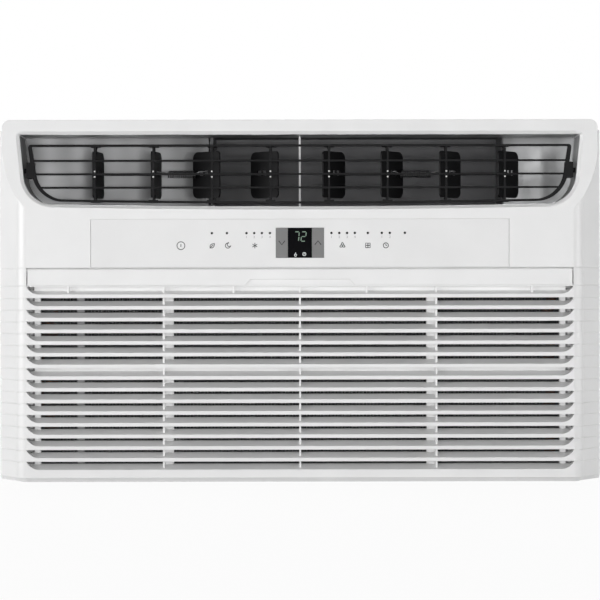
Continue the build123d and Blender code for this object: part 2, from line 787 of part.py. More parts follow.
def spring_route(first, second, z):
    """Points and directions along a hooked spring: a hook, a straight lead, the turns, a lead and a hook."""
    axis = (second - first).normalized()
    across = Vector(-axis.Y, axis.X)
    up = Vector(0, 0, 1)
    span = (second - first).length
    coil_length = span - spring_lead_in - spring_lead_out
    quarters = 4 * spring_turns + 2
    climb = coil_length / quarters / (spring_radius * math.pi / 2)

    def place(along, aside, rise):
        return first + axis * along + across * aside + up * (z + rise)

    def hook(centre, degrees, turning):
        angle = math.radians(degrees)
        way = (axis * -math.sin(angle) + across * math.cos(angle)) * turning
        return place(centre + spring_radius * math.cos(angle), spring_radius * math.sin(angle), 0), way

    hook_steps = 4
    wrap = hook_wrap / hook_steps
    route = [hook(0, 90 + wrap * (hook_steps - step), -1) for step in range(hook_steps + 1)]
    route.append((place(spring_lead_in - spring_bend, spring_radius, 0), axis))
    for quarter in range(quarters + 1):
        angle = quarter * math.pi / 2
        along = spring_lead_in + coil_length * quarter / quarters
        point = place(along, spring_radius * math.cos(angle), -spring_radius * math.sin(angle) - spring_bend)
        way = axis * climb - across * math.sin(angle) - up * math.cos(angle)
        route.append((point, way.normalized()))
    route.append((place(span - spring_lead_out + spring_bend, -spring_radius, 0), axis))
    route += [hook(span, -90 + wrap * step, 1) for step in range(hook_steps + 1)]
    return route


def least_gap(path, wire_radius, turn_radius):
    """Least clear distance between parts of a wire that are more than half a turn apart along it."""
    count = 900
    points = [path @ (index / count) for index in range(count + 1)]
    apart = math.ceil(math.pi * turn_radius / path.length * count)
    return min((points[i] - points[j]).length
               for i in range(count + 1) for j in range(i + apart, count + 1)) - 2 * wire_radius


# Springs hooked between the pairs on each side of the outlet
with BuildPart() as vane_springs:
    for left in (1, 5):
        stops = spring_route(pin_place(left), pin_place(left + 1), link_z + spring_rise)
        with BuildLine() as coil:
            for (start, start_way), (end, end_way) in zip(stops, stops[1:]):
                biarc(start, start_way, end, end_way)
        with BuildSketch(Plane(origin=stops[0][0], z_dir=stops[0][1])):
            Circle(spring_wire)
        sweep()
        print("spring, least gap to itself", round(least_gap(coil.wire(), spring_wire, spring_radius), 2))
vane_springs.part.label = "vane_springs"
export_step(vane_springs.part, "parts/vane_springs.step")

# Air duct: a block that leads from the blower's mouth to the whole width of the outlet
duct_front = outlet_depth + duct_clearance
duct_back = duct_front + duct_length
duct_half = outlet_top_half + outlet_lip
duct_top_z = outlet_top_z + outlet_lip
with BuildPart() as air_duct:
    block(-duct_half, duct_half, duct_front, duct_back, duct_floor_z, duct_top_z + duct_wall)
    with BuildSketch(Plane.XY.offset(duct_floor_z + duct_wall)):
        with BuildLine():
            Polyline((-outlet_top_half, front + duct_front - 1), (outlet_top_half, front + duct_front - 1),
                     (mouth_right, front + duct_back + 1), (mouth_left, front + duct_back + 1), close=True)
        make_face()
    extrude(amount=duct_top_z - duct_floor_z - duct_wall, mode=Mode.SUBTRACT)
air_duct.part.label = "air_duct"
export_step(air_duct.part, "parts/air_duct.step")

# Levels shared by the case, the pan and what stands in them
case_half = width / 2 - case_inset
case_top_z = height - case_inset
case_back = depth - guard_thickness
pan_half = case_half - case_sheet
pan_inner = pan_half - pan_sheet
inner_top_z = case_top_z - case_sheet
scroll_front = duct_back
scroll_back = scroll_front + scroll_depth
bulkhead_back = scroll_back + bulkhead_sheet
compressor_place = (compressor_x, front + compressor_setback)


def side_hole(radius, setback, z, side, reach, mode=Mode.SUBTRACT):
    """A round hole or rod along X at one side wall, this far inwards from the full width."""
    with Locations((side * (width / 2 - reach / 2), front + setback, z)):
        Cylinder(radius, reach, rotation=(0, 90, 0), mode=mode)


# Outer case: a folded sheet over the chassis, slotted at the rear for outdoor air
with BuildPart() as outer_case:
    block(-case_half, case_half, panel_depth, case_back, case_foot_z, case_top_z)
    block(-pan_half, pan_half, panel_depth - 1, case_back + 1, case_foot_z - 1, inner_top_z, Mode.SUBTRACT)
    slot_middle = (bulkhead_back + condenser_front) / 2
    slot_columns_pitch = case_slot_length * case_slot_spread
    with BuildSketch(Plane.YZ):
        with Locations((front + slot_middle, height / 2)):
            with GridLocations(slot_columns_pitch, case_slot_pitch, case_slot_columns, case_slot_rows):
                SlotOverall(case_slot_length, case_slot_height)
    extrude(amount=width, both=True, mode=Mode.SUBTRACT)
    for side in (1, -1):
        for setback in screw_depths:
            side_hole(screw_shank + screw_clearance, setback, screw_z, side, 4 * screw_head)
    side_hole(gland_radius + running_clearance, gland_setback, gland_z, 1, 4 * screw_head)
outer_case.part.label = "outer_case"
export_step(outer_case.part, "parts/outer_case.step")

# Base pan: a tray, open towards the room, with four holes to bolt it down
bolt_middle = bolt_front + bolt_spacing_y / 2
with BuildPart() as base_pan:
    block(-pan_half, pan_half, panel_depth, case_back, 0, pan_wall_z)
    block(-pan_inner, pan_inner, panel_depth - 1, case_back - pan_sheet,
          pan_sheet, pan_wall_z + 1, Mode.SUBTRACT)
    with Locations((0, front + bolt_middle, 0)):
        with GridLocations(bolt_spacing_x, bolt_spacing_y, 2, 2):
            Cylinder(bolt_hole, 4 * pan_sheet, mode=Mode.SUBTRACT)
    for side in (1, -1):
        for setback in screw_depths:
            side_hole(screw_shank + screw_clearance, setback, screw_z, side, 4 * screw_head)
base_pan.part.label = "base_pan"
export_step(base_pan.part, "parts/base_pan.step")

# Screws that hold the case to the pan
with BuildPart() as case_screws:
    for side in (1, -1):
        for setback in screw_depths:
            side_hole(screw_head, setback, screw_z, side, case_inset, Mode.ADD)
            side_hole(screw_shank, setback, screw_z, side, 2 * screw_head, Mode.ADD)
case_screws.part.label = "case_screws"
export_step(case_screws.part, "parts/case_screws.step")

# Cord gland in the right side of the case
with BuildPart() as cord_gland:
    side_hole(gland_flange, gland_setback, gland_z, 1, case_inset, Mode.ADD)
    side_hole(gland_radius, gland_setback, gland_z, 1, 2 * case_inset + 2 * case_sheet, Mode.ADD)
    side_hole(gland_bore, gland_setback, gland_z, 1, 4 * screw_head)
cord_gland.part.label = "cord_gland"
export_step(cord_gland.part, "parts/cord_gland.step")

# Rear guard over the condenser
guard_width = 2 * (case_half - guard_border)
guard_height = case_top_z - case_foot_z - 2 * guard_border
with BuildPart() as rear_guard:
    with BuildSketch(front_plane(case_back)):
        with Locations((0, (case_top_z + case_foot_z) / 2)):
            Rectangle(2 * case_half, case_top_z - case_foot_z)
            with GridLocations(guard_width / guard_columns, guard_height / guard_rows,
                               guard_columns, guard_rows):
                Rectangle(guard_width / guard_columns - guard_bar, guard_height / guard_rows - guard_bar,
                          mode=Mode.SUBTRACT)
    extrude(amount=-guard_thickness)
rear_guard.part.label = "rear_guard"
export_step(rear_guard.part, "parts/rear_guard.step")

# Drain tray under the evaporator
tray_back = scroll_front - case_inset
with BuildPart() as drain_tray:
    block(-tray_half, tray_half, tray_front, tray_back, panel_wall, tray_top_z)
    block(-tray_half + tray_wall, tray_half - tray_wall, tray_front + tray_wall, tray_back - tray_wall,
          tray_floor_z, tray_top_z + 1, Mode.SUBTRACT)
drain_tray.part.label = "drain_tray"
export_step(drain_tray.part, "parts/drain_tray.step")


def coil_rows(setback, thickness):
    """Depths of the two rows of tubes in a coil."""
    return (front + setback + thickness / 4, front + setback + thickness * 3 / 4)


# Coils: a finned block between end plates that stand on what carries them, and the tubes' return bends
coils = {"evaporator": (evaporator_half, evaporator_front, evaporator_depth, evaporator_rows,
                        tray_floor_z, tray_floor_z + end_plate),
         "condenser": (condenser_half, condenser_front, condenser_depth, condenser_rows,
                       pan_sheet, condenser_foot_z)}
for name, (half, setback, thickness, rows, plate_foot_z, foot_z) in coils.items():
    top_z = foot_z + rows * tube_pitch
    with BuildPart() as coil_fins:
        block(-half, half, setback, setback + thickness, foot_z, top_z)
        for side in (1, -1):
            inner = side * half
            outer = side * (half + end_plate)
            block(min(inner, outer), max(inner, outer), setback, setback + thickness, plate_foot_z, top_z)
    coil_fins.part.label = f"{name}_fins"
    export_step(coil_fins.part, f"parts/{name}_fins.step")
    with BuildPart() as coil_bends:
        for row_y in coil_rows(setback, thickness):
            for side, first_pair in ((1, 0), (-1, 1)):
                for level in range(first_pair, rows - 1, 2):
                    bend_z = foot_z + (level + 1) * tube_pitch
                    with Locations(Plane(origin=(side * (half + end_plate), row_y, bend_z),
                                         x_dir=(0, 0, -1), z_dir=(0, -side, 0))):
                        Torus(tube_pitch / 2, tube_radius, major_angle=180, align=None)
    coil_bends.part.label = f"{name}_bends"
    export_step(coil_bends.part, f"parts/{name}_bends.step")

# Blower scroll: a volute round the wheel with a tall mouth towards the duct, and an inlet plate in front
spiral_start = wheel_radius + scroll_gap
spiral_end = mouth_right + scroll_wall - fan_x


def spiral_point(angle):
    """A point on the volute, whose radius grows steadily from the tongue to the right side."""
    share = (angle - tongue_angle) / (360 - tongue_angle)
    radius = spiral_start + (spiral_end - spiral_start) * share
    return (fan_x + radius * math.cos(math.radians(angle)), fan_z + radius * math.sin(math.radians(angle)))


scroll_top_z = duct_top_z + duct_wall
with BuildPart() as scroll_housing:
    with BuildSketch(front_plane(scroll_front)) as volute:
        with BuildLine():
            quarter = (360 - tongue_angle) / 4
            turns = [spiral_point(tongue_angle + quarter * step) for step in range(5)]
            ThreePointArc(turns[0], turns[1], turns[2])
            ThreePointArc(turns[2], turns[3], turns[4])
            Polyline(turns[4], (mouth_right + scroll_wall, scroll_top_z),
                     (mouth_left - scroll_wall, scroll_top_z),
                     (mouth_left - scroll_wall, duct_floor_z), turns[0])
        make_face()
    extrude(amount=-scroll_depth)
    volute_inside = offset(volute.sketch, amount=-scroll_wall, mode=Mode.PRIVATE)
    extrude(volute_inside, amount=-(scroll_depth - scroll_wall), mode=Mode.SUBTRACT)
    block(-evaporator_half, evaporator_half, scroll_front, scroll_front + scroll_wall,
          pan_sheet, duct_floor_z)
    lying_rod(fan_x, fan_z, scroll_inlet, scroll_front - 1, scroll_front + 2 * scroll_wall, Mode.SUBTRACT)
    lying_rod(fan_x, fan_z, 2 * shaft_radius, scroll_front, scroll_back + 1, Mode.SUBTRACT)
scroll_housing.part.label = "scroll_housing"
export_step(scroll_housing.part, "parts/scroll_housing.step")

# Bulkhead between the room side and the outdoor side, with a notch for the pipes
with BuildPart() as bulkhead:
    block(-pan_inner, pan_inner, scroll_back, bulkhead_back, pan_sheet, inner_top_z)
    block(-pan_inner - 1, -pan_inner + bulkhead_notch, scroll_back - 1, bulkhead_back + 1,
          pan_wall_z, box_top_z, Mode.SUBTRACT)
    lying_rod(fan_x, fan_z, 2 * shaft_radius, scroll_back - 1, bulkhead_back + 1, Mode.SUBTRACT)
bulkhead.part.label = "bulkhead"
export_step(bulkhead.part, "parts/bulkhead.step")

# Fan shaft, motor and bracket
with BuildPart() as fan_shaft:
    lying_rod(fan_x, fan_z, shaft_radius, shaft_front, shaft_back)
fan_shaft.part.label = "fan_shaft"
export_step(fan_shaft.part, "parts/fan_shaft.step")

motor_back = motor_front + motor_depth
with BuildPart() as fan_motor:
    lying_rod(fan_x, fan_z, motor_radius, motor_front, motor_back)
    fillet(fan_motor.edges().filter_by(GeomType.CIRCLE), radius=motor_radius / 5)
    lying_rod(fan_x, fan_z, hub_radius, motor_front - hub_radius, motor_back + hub_radius)
    lying_rod(fan_x, fan_z, shaft_radius + running_clearance, shaft_front, shaft_back, Mode.SUBTRACT)
fan_motor.part.label = "fan_motor"
export_step(fan_motor.part, "parts/fan_motor.step")

bracket_front = motor_front + motor_depth / 4
bracket_back = motor_back - motor_depth / 4
with BuildPart() as motor_bracket:
    block(fan_x - bracket_half, fan_x + bracket_half, bracket_front, bracket_back, pan_sheet, fan_z)
    block(fan_x - bracket_half - 1, fan_x + bracket_half + 1, bracket_front + bracket_sheet,
          bracket_back - bracket_sheet, pan_sheet + bracket_sheet, fan_z + 1, Mode.SUBTRACT)
    lying_rod(fan_x, fan_z, motor_radius + motor_seat, bracket_front - 1, bracket_back + 1, Mode.SUBTRACT)
motor_bracket.part.label = "motor_bracket"
export_step(motor_bracket.part, "parts/motor_bracket.step")

# Blower wheel
wheel_back = wheel_front + wheel_depth
with BuildPart() as blower_wheel:
    lying_rod(fan_x, fan_z, wheel_radius, wheel_front, wheel_front + wheel_plate)
    lying_rod(fan_x, fan_z, wheel_radius - wheel_rim, wheel_front - 1, wheel_front + wheel_plate + 1,
              Mode.SUBTRACT)
    lying_rod(fan_x, fan_z, wheel_radius, wheel_back - wheel_plate, wheel_back)
    lying_rod(fan_x, fan_z, hub_radius, wheel_back - hub_depth, wheel_back)
    with BuildSketch(front_plane(wheel_front + wheel_plate / 2)):
        with Locations((fan_x, fan_z)):
            with PolarLocations(wheel_radius - wheel_rim / 2 - wheel_blade / 2, wheel_blades):
                Rectangle(wheel_rim - wheel_blade, wheel_blade)
    extrude(amount=-(wheel_depth - wheel_plate))
    lying_rod(fan_x, fan_z, shaft_radius + running_clearance, shaft_front, wheel_back + 1, Mode.SUBTRACT)
blower_wheel.part.label = "blower_wheel"
export_step(blower_wheel.part, "parts/blower_wheel.step")

# Condenser fan with the ring that throws drain water at the coil
with BuildPart() as condenser_fan:
    lying_rod(fan_x, fan_z, axial_hub, axial_middle - axial_hub_depth / 2, axial_middle + axial_hub_depth / 2)
    for index in range(axial_blades):
        turn = 2 * math.pi * index / axial_blades
        radial = Vector(math.cos(turn), 0, math.sin(turn))
        tilted = Vector(0, -1, 0).rotate(Axis((0, 0, 0), radial), axial_pitch_angle)
        with BuildSketch(Plane(origin=(fan_x, front + axial_middle, fan_z), x_dir=radial, z_dir=tilted)):
            with BuildLine():
                Polyline((axial_hub / 2, -axial_hub / 2), (axial_radius, -axial_hub * axial_tip),
                         (axial_radius, axial_hub * axial_tip), (axial_hub / 2, axial_hub / 2), close=True)
            make_face()
        extrude(amount=axial_blade / 2, both=True)
    lying_rod(fan_x, fan_z, axial_radius, motor_back, shaft_back + axial_hub, Mode.INTERSECT)
    with BuildSketch(front_plane(axial_middle - slinger_depth / 2)):
        with Locations((fan_x, fan_z)):
            Circle(axial_radius)
            Circle(axial_radius - slinger_ring, mode=Mode.SUBTRACT)
    extrude(amount=-slinger_depth)
    lying_rod(fan_x, fan_z, shaft_radius + running_clearance, motor_back, shaft_back + 1, Mode.SUBTRACT)
condenser_fan.part.label = "condenser_fan"
export_step(condenser_fan.part, "parts/condenser_fan.step")

# Shroud that leads the condenser fan's air to the coil
shroud_hole = axial_radius + shroud_gap
with BuildPart() as fan_shroud:
    block(-pan_inner, pan_inner, shroud_setback, shroud_setback + bulkhead_sheet, pan_sheet, shroud_top_z)
    lying_rod(fan_x, fan_z, shroud_hole + bulkhead_sheet, shroud_setback - shroud_ring, shroud_setback)
    lying_rod(fan_x, fan_z, shroud_hole, shroud_setback - shroud_ring - 1,
              shroud_setback + 2 * bulkhead_sheet, Mode.SUBTRACT)
    block(-pan_inner - 1, -pan_inner + bulkhead_notch,
          shroud_setback - 1, shroud_setback + bulkhead_sheet + 1,
          pan_wall_z, case_foot_z + 3 * tube_pitch, Mode.SUBTRACT)
fan_shroud.part.label = "fan_shroud"
export_step(fan_shroud.part, "parts/fan_shroud.step")

# Compressor: a domed shell on a foot plate, with its terminal cover and pipe stubs
mount_top_z = pan_sheet + mount_height
shell_foot_z = mount_top_z + foot_plate
shell_top_z = shell_foot_z + compressor_height
mount_places = [(compressor_x + mount_circle * math.cos(math.radians(angle)),
                 front + compressor_setback + mount_circle * math.sin(math.radians(angle)))
                for angle in (90, 210, 330)]
accumulator_place = Vector(accumulator_x, front + accumulator_setback)
suction_way = (accumulator_place - Vector(*compressor_place)).normalized()
suction_z = shell_foot_z + compressor_dome + 2 * stub_radius
discharge_x = compressor_x + compressor_radius / 2
with BuildPart() as compressor:
    with BuildSketch(Plane.XY.offset(mount_top_z)):
        with Locations(*mount_places):
            Circle(mount_radius)
        make_hull()
    extrude(amount=foot_plate)
    with BuildSketch(Plane.XY.offset(shell_foot_z)):
        with Locations(compressor_place):
            Circle(compressor_radius)
    extrude(amount=compressor_height)
    shell_rims = compressor.edges().filter_by(GeomType.CIRCLE)
    shell_rims = shell_rims.filter_by(lambda rim: abs(rim.radius - compressor_radius) < 0.01)
    fillet(shell_rims.sort_by(Axis.Z)[-1], radius=compressor_dome)
    with Locations((discharge_x, compressor_place[1], shell_top_z)):
        Cylinder(stub_radius, 2 * stub_length)
    with Locations(Plane(origin=(*compressor_place, suction_z), z_dir=(suction_way.X, suction_way.Y, 0))):
        Cylinder(stub_radius, compressor_radius + stub_length, align=(Align.CENTER, Align.CENTER, Align.MIN))
    with Locations((compressor_x, compressor_place[1] + compressor_radius,
                    shell_top_z - compressor_height / 2)):
        Box(compressor_radius * 2 / 3, compressor_dome, compressor_radius)
compressor.part.label = "compressor"
export_step(compressor.part, "parts/compressor.step")

with BuildPart() as compressor_mounts:
    with Locations(*[(x, y, pan_sheet + mount_height / 2) for x, y in mount_places]):
        Cylinder(mount_radius, mount_height)
compressor_mounts.part.label = "compressor_mounts"
export_step(compressor_mounts.part, "parts/compressor_mounts.step")

# Suction accumulator and the pipe from its foot into the compressor
suction_end = Vector(*compressor_place, suction_z) + suction_way * (compressor_radius + stub_length)
suction_corner = Vector(accumulator_place.X, accumulator_place.Y, suction_z)
with BuildPart() as accumulator:
    with Locations((accumulator_place.X, accumulator_place.Y, accumulator_foot_z + accumulator_height / 2)):
        Cylinder(accumulator_radius, accumulator_height)
    fillet(accumulator.edges().filter_by(GeomType.CIRCLE), radius=accumulator_radius / 2)
    with BuildLine():
        FilletPolyline(suction_end, suction_corner,
                       suction_corner + Vector(0, 0, accumulator_foot_z - suction_z + 1),
                       radius=pipe_bend)
    with BuildSketch(Plane(origin=suction_end, z_dir=suction_way)):
        Circle(pipe_radius)
    sweep()
accumulator.part.label = "accumulator"
export_step(accumulator.part, "parts/accumulator.step")

# Refrigerant pipes, each along straight runs and round bends
evaporator_top_z = tray_floor_z + end_plate + (evaporator_rows - 0.5) * tube_pitch
condenser_low_z = condenser_foot_z + tube_pitch / 2
condenser_high_z = condenser_foot_z + (condenser_rows - 0.5) * tube_pitch
evaporator_plate = -evaporator_half - end_plate
condenser_plate = -condenser_half - end_plate
evaporator_near, evaporator_far = coil_rows(evaporator_front, evaporator_depth)
condenser_near, condenser_far = coil_rows(condenser_front, condenser_depth)
over_z = shroud_top_z + 3 * pipe_radius
crossing_y = front + (bulkhead_back + compressor_setback - compressor_radius) / 2
drier_y = front + (scroll_front + scroll_back) / 2
suction_top_z = shell_top_z + 2 * stub_length + pipe_bend
routes = {
    "discharge_line": [(discharge_x, compressor_place[1], shell_top_z + stub_length),
                       (discharge_x, compressor_place[1], over_z),
                       (discharge_x, condenser_near, over_z),
                       (pipe_run_x, condenser_near, over_z),
                       (pipe_run_x, condenser_near, condenser_high_z),
                       (condenser_plate, condenser_near, condenser_high_z)],
    "suction_line": [(evaporator_plate, evaporator_far, evaporator_top_z),
                     (pipe_run_x, evaporator_far, evaporator_top_z),
                     (pipe_run_x, crossing_y, evaporator_top_z),
                     (pipe_run_x, crossing_y, suction_top_z),
                     (accumulator_place.X, crossing_y, suction_top_z),
                     (accumulator_place.X, accumulator_place.Y, suction_top_z),
                     (accumulator_place.X, accumulator_place.Y, accumulator_foot_z + accumulator_height)],
}
for name, points in routes.items():
    with BuildPart() as pipe:
        with BuildLine():
            FilletPolyline(*points, radius=pipe_bend)
        with BuildSketch(Plane(origin=points[0], z_dir=Vector(*points[1]) - Vector(*points[0]))):
            Circle(pipe_radius)
        sweep()
    pipe.part.label = name
    export_step(pipe.part, f"parts/{name}.step")

# Liquid line from the condenser's foot, with the filter drier at its end
drier_foot_z = condenser_low_z + 2 * pipe_bend
with BuildPart() as liquid_line:
    with BuildLine():
        FilletPolyline((condenser_plate, condenser_far, condenser_low_z),
                       (pipe_run_x, condenser_far, condenser_low_z),
                       (pipe_run_x, drier_y, condenser_low_z),
                       (pipe_run_x, drier_y, drier_foot_z + 1), radius=pipe_bend)
    with BuildSketch(Plane(origin=(condenser_plate, condenser_far, condenser_low_z), z_dir=(-1, 0, 0))):
        Circle(pipe_radius)
    sweep()
    with Locations((pipe_run_x, drier_y, drier_foot_z + drier_length / 2)):
        Cylinder(drier_radius, drier_length)
liquid_line.part.label = "liquid_line"
export_step(liquid_line.part, "parts/liquid_line.step")

# Capillary tube: a few turns above the drier, then on to the evaporator
drier_top_z = drier_foot_z + drier_length
coil_centre = Vector(pipe_run_x + capillary_coil, drier_y)
coil_foot_z = drier_top_z + capillary_coil
quarters = 4 * capillary_turns + 2
climb = capillary_pitch / (2 * math.pi * capillary_coil)
up = Vector(0, 0, 1)
capillary_route = [(Vector(pipe_run_x, drier_y, drier_top_z), up)]
for quarter in range(1, quarters + 1):
    angle = quarter * math.pi / 2
    outward = Vector(-math.cos(angle), math.sin(angle))
    along = Vector(math.sin(angle), math.cos(angle))
    point = coil_centre + outward * capillary_coil + up * (coil_foot_z + capillary_pitch * quarter / 4)
    capillary_route.append((point, (along + up * climb).normalized()))
rise_x = evaporator_plate - 2 * capillary_coil
capillary_route += [(Vector(rise_x, evaporator_near, evaporator_top_z - 4 * capillary_coil), up),
                    (Vector(rise_x, evaporator_near, evaporator_top_z - capillary_coil), up),
                    (Vector(rise_x + capillary_coil, evaporator_near, evaporator_top_z), Vector(1, 0, 0)),
                    (Vector(evaporator_plate, evaporator_near, evaporator_top_z), Vector(1, 0, 0))]
with BuildPart() as capillary:
    with BuildLine() as winding:
        for (start, start_way), (end, end_way) in zip(capillary_route, capillary_route[1:]):
            biarc(start, start_way, end, end_way)
    with BuildSketch(Plane(origin=capillary_route[0][0], z_dir=up)):
        Circle(capillary_radius)
    sweep()
print("capillary, least gap to itself", round(least_gap(winding.wire(), capillary_radius, capillary_coil), 2))
capillary.part.label = "capillary"
export_step(capillary.part, "parts/capillary.step")

# Control box on the bulkhead, open towards the front, with the run capacitor in it
with BuildPart() as control_box:
    block(box_left, box_right, box_front, scroll_back, box_foot_z, box_top_z)
    block(box_left + box_sheet, box_right - box_sheet, box_front - 1, scroll_back - box_sheet,
          box_foot_z + box_sheet, box_top_z - box_sheet, Mode.SUBTRACT)
control_box.part.label = "control_box"
export_step(control_box.part, "parts/control_box.step")

with BuildPart() as run_capacitor:
    with Locations(((box_left + box_right) / 2, front + (box_front + scroll_back) / 2,
                    box_foot_z + box_sheet + capacitor_height / 2)):
        Cylinder(capacitor_radius, capacitor_height)
run_capacitor.part.label = "run_capacitor"
export_step(run_capacitor.part, "parts/run_capacitor.step")
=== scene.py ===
"""Looks of the window air conditioner: materials, printed marks, fine detail, studio light and camera.

Metres, in the same frame as the parts: +Z is up and the front faces -Y.
"""

import json
import math

import bmesh
import bpy
from mathutils import Matrix, Vector


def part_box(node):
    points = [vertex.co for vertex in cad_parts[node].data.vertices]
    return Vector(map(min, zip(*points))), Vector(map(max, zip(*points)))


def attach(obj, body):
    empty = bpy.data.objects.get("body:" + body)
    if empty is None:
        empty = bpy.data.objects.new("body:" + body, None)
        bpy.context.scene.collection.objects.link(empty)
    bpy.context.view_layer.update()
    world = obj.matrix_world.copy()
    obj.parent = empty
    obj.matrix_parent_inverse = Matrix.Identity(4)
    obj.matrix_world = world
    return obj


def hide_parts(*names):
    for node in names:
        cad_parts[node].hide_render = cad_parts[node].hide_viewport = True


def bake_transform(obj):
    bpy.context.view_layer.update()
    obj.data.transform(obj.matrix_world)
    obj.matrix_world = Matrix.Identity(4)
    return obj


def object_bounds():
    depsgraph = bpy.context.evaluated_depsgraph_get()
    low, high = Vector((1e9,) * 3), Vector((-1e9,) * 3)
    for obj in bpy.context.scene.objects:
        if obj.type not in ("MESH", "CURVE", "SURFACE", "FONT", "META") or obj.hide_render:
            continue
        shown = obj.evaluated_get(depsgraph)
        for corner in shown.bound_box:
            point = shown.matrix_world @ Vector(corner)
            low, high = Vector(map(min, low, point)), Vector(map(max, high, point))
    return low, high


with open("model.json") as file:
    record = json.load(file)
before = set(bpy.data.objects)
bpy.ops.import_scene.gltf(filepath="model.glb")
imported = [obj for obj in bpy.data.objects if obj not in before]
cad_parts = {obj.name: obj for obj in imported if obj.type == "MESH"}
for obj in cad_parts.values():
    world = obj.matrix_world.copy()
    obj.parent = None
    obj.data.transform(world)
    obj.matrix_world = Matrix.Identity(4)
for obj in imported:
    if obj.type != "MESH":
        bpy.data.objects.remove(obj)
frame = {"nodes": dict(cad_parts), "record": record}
cad_low, cad_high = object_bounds()
nodes = frame["nodes"]

# Places on the front
front = cad_low.y
key_z = 0.2421
lamp_z = 0.2549
display_z = 0.2449
arrow_x = 0.0185
key_places = {"power": -0.1218, "eco": -0.0896, "sleep": -0.0737, "mode": -0.0461,
              "fan_speed": 0.0435, "filter": 0.0696, "timer": 0.0880}
numbered_lamps = ((-0.0547, -0.0468, -0.0389, -0.0307), (0.0323, 0.0403, 0.0483, 0.0563), (0.0839, 0.0921))

# Louvres and springs
vane_pitch = 0.0602
vane_count = 8
vane_angles = (11, 11, -49, -49, 38, 38, 38, 38)
pivot_y = front + 0.022
link_arm = 0.012
hook_z = 0.3194
spring_radius = 0.0033
spring_wire = 0.0007
spring_turns = 12.5
spring_drop = 0.0025
# Straight wire before and after each coil, by the index of the vane on its left
spring_leads = {1: (0.0115, 0.0090), 5: (0.0070, 0.0225)}
bar_y = front + 0.007
middle_bar_z = 0.3158

# Camera and light
world_light = 0.12
view_distance = 2.2
photo_width = 0.6142
photo_middle_z = 0.1863
photo_roll = math.radians(0.1)
sensor = 36.0

# Part of a noise value's range that tones and gloss run through
noise_low = 0.3
noise_high = 0.7
bevel_samples = 6


def tree_of(name, roughness, metallic=0.0):
    """A new material, with its node tree and its main shader."""
    made = bpy.data.materials.new(name)
    made.use_nodes = True
    shader = made.node_tree.nodes["Principled BSDF"]
    shader.inputs["Roughness"].default_value = roughness
    shader.inputs["Metallic"].default_value = metallic
    return made, made.node_tree, shader


def noise(tree, scale, detail=2.0, stretch=(1, 1, 1)):
    """Noise in the piece's own space, finer along an axis that is stretched more."""
    place = tree.nodes.new("ShaderNodeTexCoord")
    mapping = tree.nodes.new("ShaderNodeMapping")
    mapping.inputs["Scale"].default_value = stretch
    texture = tree.nodes.new("ShaderNodeTexNoise")
    texture.inputs["Scale"].default_value = scale
    texture.inputs["Detail"].default_value = detail
    tree.links.new(place.outputs["Object"], mapping.inputs["Vector"])
    tree.links.new(mapping.outputs["Vector"], texture.inputs["Vector"])
    return texture.outputs["Fac"]


def cells(tree, scale):
    """Rounded cells in the piece's own space."""
    place = tree.nodes.new("ShaderNodeTexCoord")
    texture = tree.nodes.new("ShaderNodeTexVoronoi")
    texture.inputs["Scale"].default_value = scale
    tree.links.new(place.outputs["Object"], texture.inputs["Vector"])
    return texture


def bands(tree, direction, pitch):
    """Straight bands across an axis, with one band for each pitch."""
    place = tree.nodes.new("ShaderNodeTexCoord")
    texture = tree.nodes.new("ShaderNodeTexWave")
    texture.bands_direction = direction
    texture.inputs["Scale"].default_value = math.pi / 10 / pitch
    tree.links.new(place.outputs["Object"], texture.inputs["Vector"])
    return texture.outputs["Fac"]


def tone(tree, shader, value, dark, light, low=noise_low, high=noise_high):
    """Base colour that runs from dark to light as a texture's value goes from low to high."""
    ramp = tree.nodes.new("ShaderNodeValToRGB")
    ramp.color_ramp.elements[0].position = low
    ramp.color_ramp.elements[1].position = high
    ramp.color_ramp.elements[0].color = (*dark, 1)
    ramp.color_ramp.elements[1].color = (*light, 1)
    tree.links.new(value, ramp.inputs["Fac"])
    tree.links.new(ramp.outputs["Color"], shader.inputs["Base Color"])


def vary_roughness(tree, shader, value, low, high):
    """Roughness that follows a texture between two values."""
    spread = tree.nodes.new("ShaderNodeMapRange")
    spread.inputs["From Min"].default_value = noise_low
    spread.inputs["From Max"].default_value = noise_high
    spread.inputs["To Min"].default_value = low
    spread.inputs["To Max"].default_value = high
    tree.links.new(value, spread.inputs["Value"])
    tree.links.new(spread.outputs["Result"], shader.inputs["Roughness"])


def relief(tree, shader, value, height, rounding=0.0):
    """Surface relief from a texture, over edges that look rounded by a small radius."""
    bump = tree.nodes.new("ShaderNodeBump")
    bump.inputs["Distance"].default_value = height
    tree.links.new(value, bump.inputs["Height"])
    if rounding:
        soft_edge = tree.nodes.new("ShaderNodeBevel")
        soft_edge.samples = bevel_samples
        soft_edge.inputs["Radius"].default_value = rounding
        tree.links.new(soft_edge.outputs["Normal"], bump.inputs["Normal"])
    tree.links.new(bump.outputs["Normal"], shader.inputs["Normal"])


def shade(colour, factor):
    """A colour made lighter or darker."""
    return tuple(channel * factor for channel in colour)


def moulded(name, colour, roughness, rounding=0.0, grain=0.00002, gloss=0.5):
    """Moulded plastic: faint clouding, a fine grain and slightly uneven gloss."""
    made, tree, shader = tree_of(name, roughness)
    shader.inputs["Specular IOR Level"].default_value = gloss
    clouds = noise(tree, 18)
    tone(tree, shader, clouds, shade(colour, 0.97), shade(colour, 1.01))
    uneven = noise(tree, 70)
    vary_roughness(tree, shader, uneven, roughness * 0.9, roughness * 1.1)
    fine_grain = noise(tree, 1800)
    relief(tree, shader, fine_grain, grain, rounding)
    return made


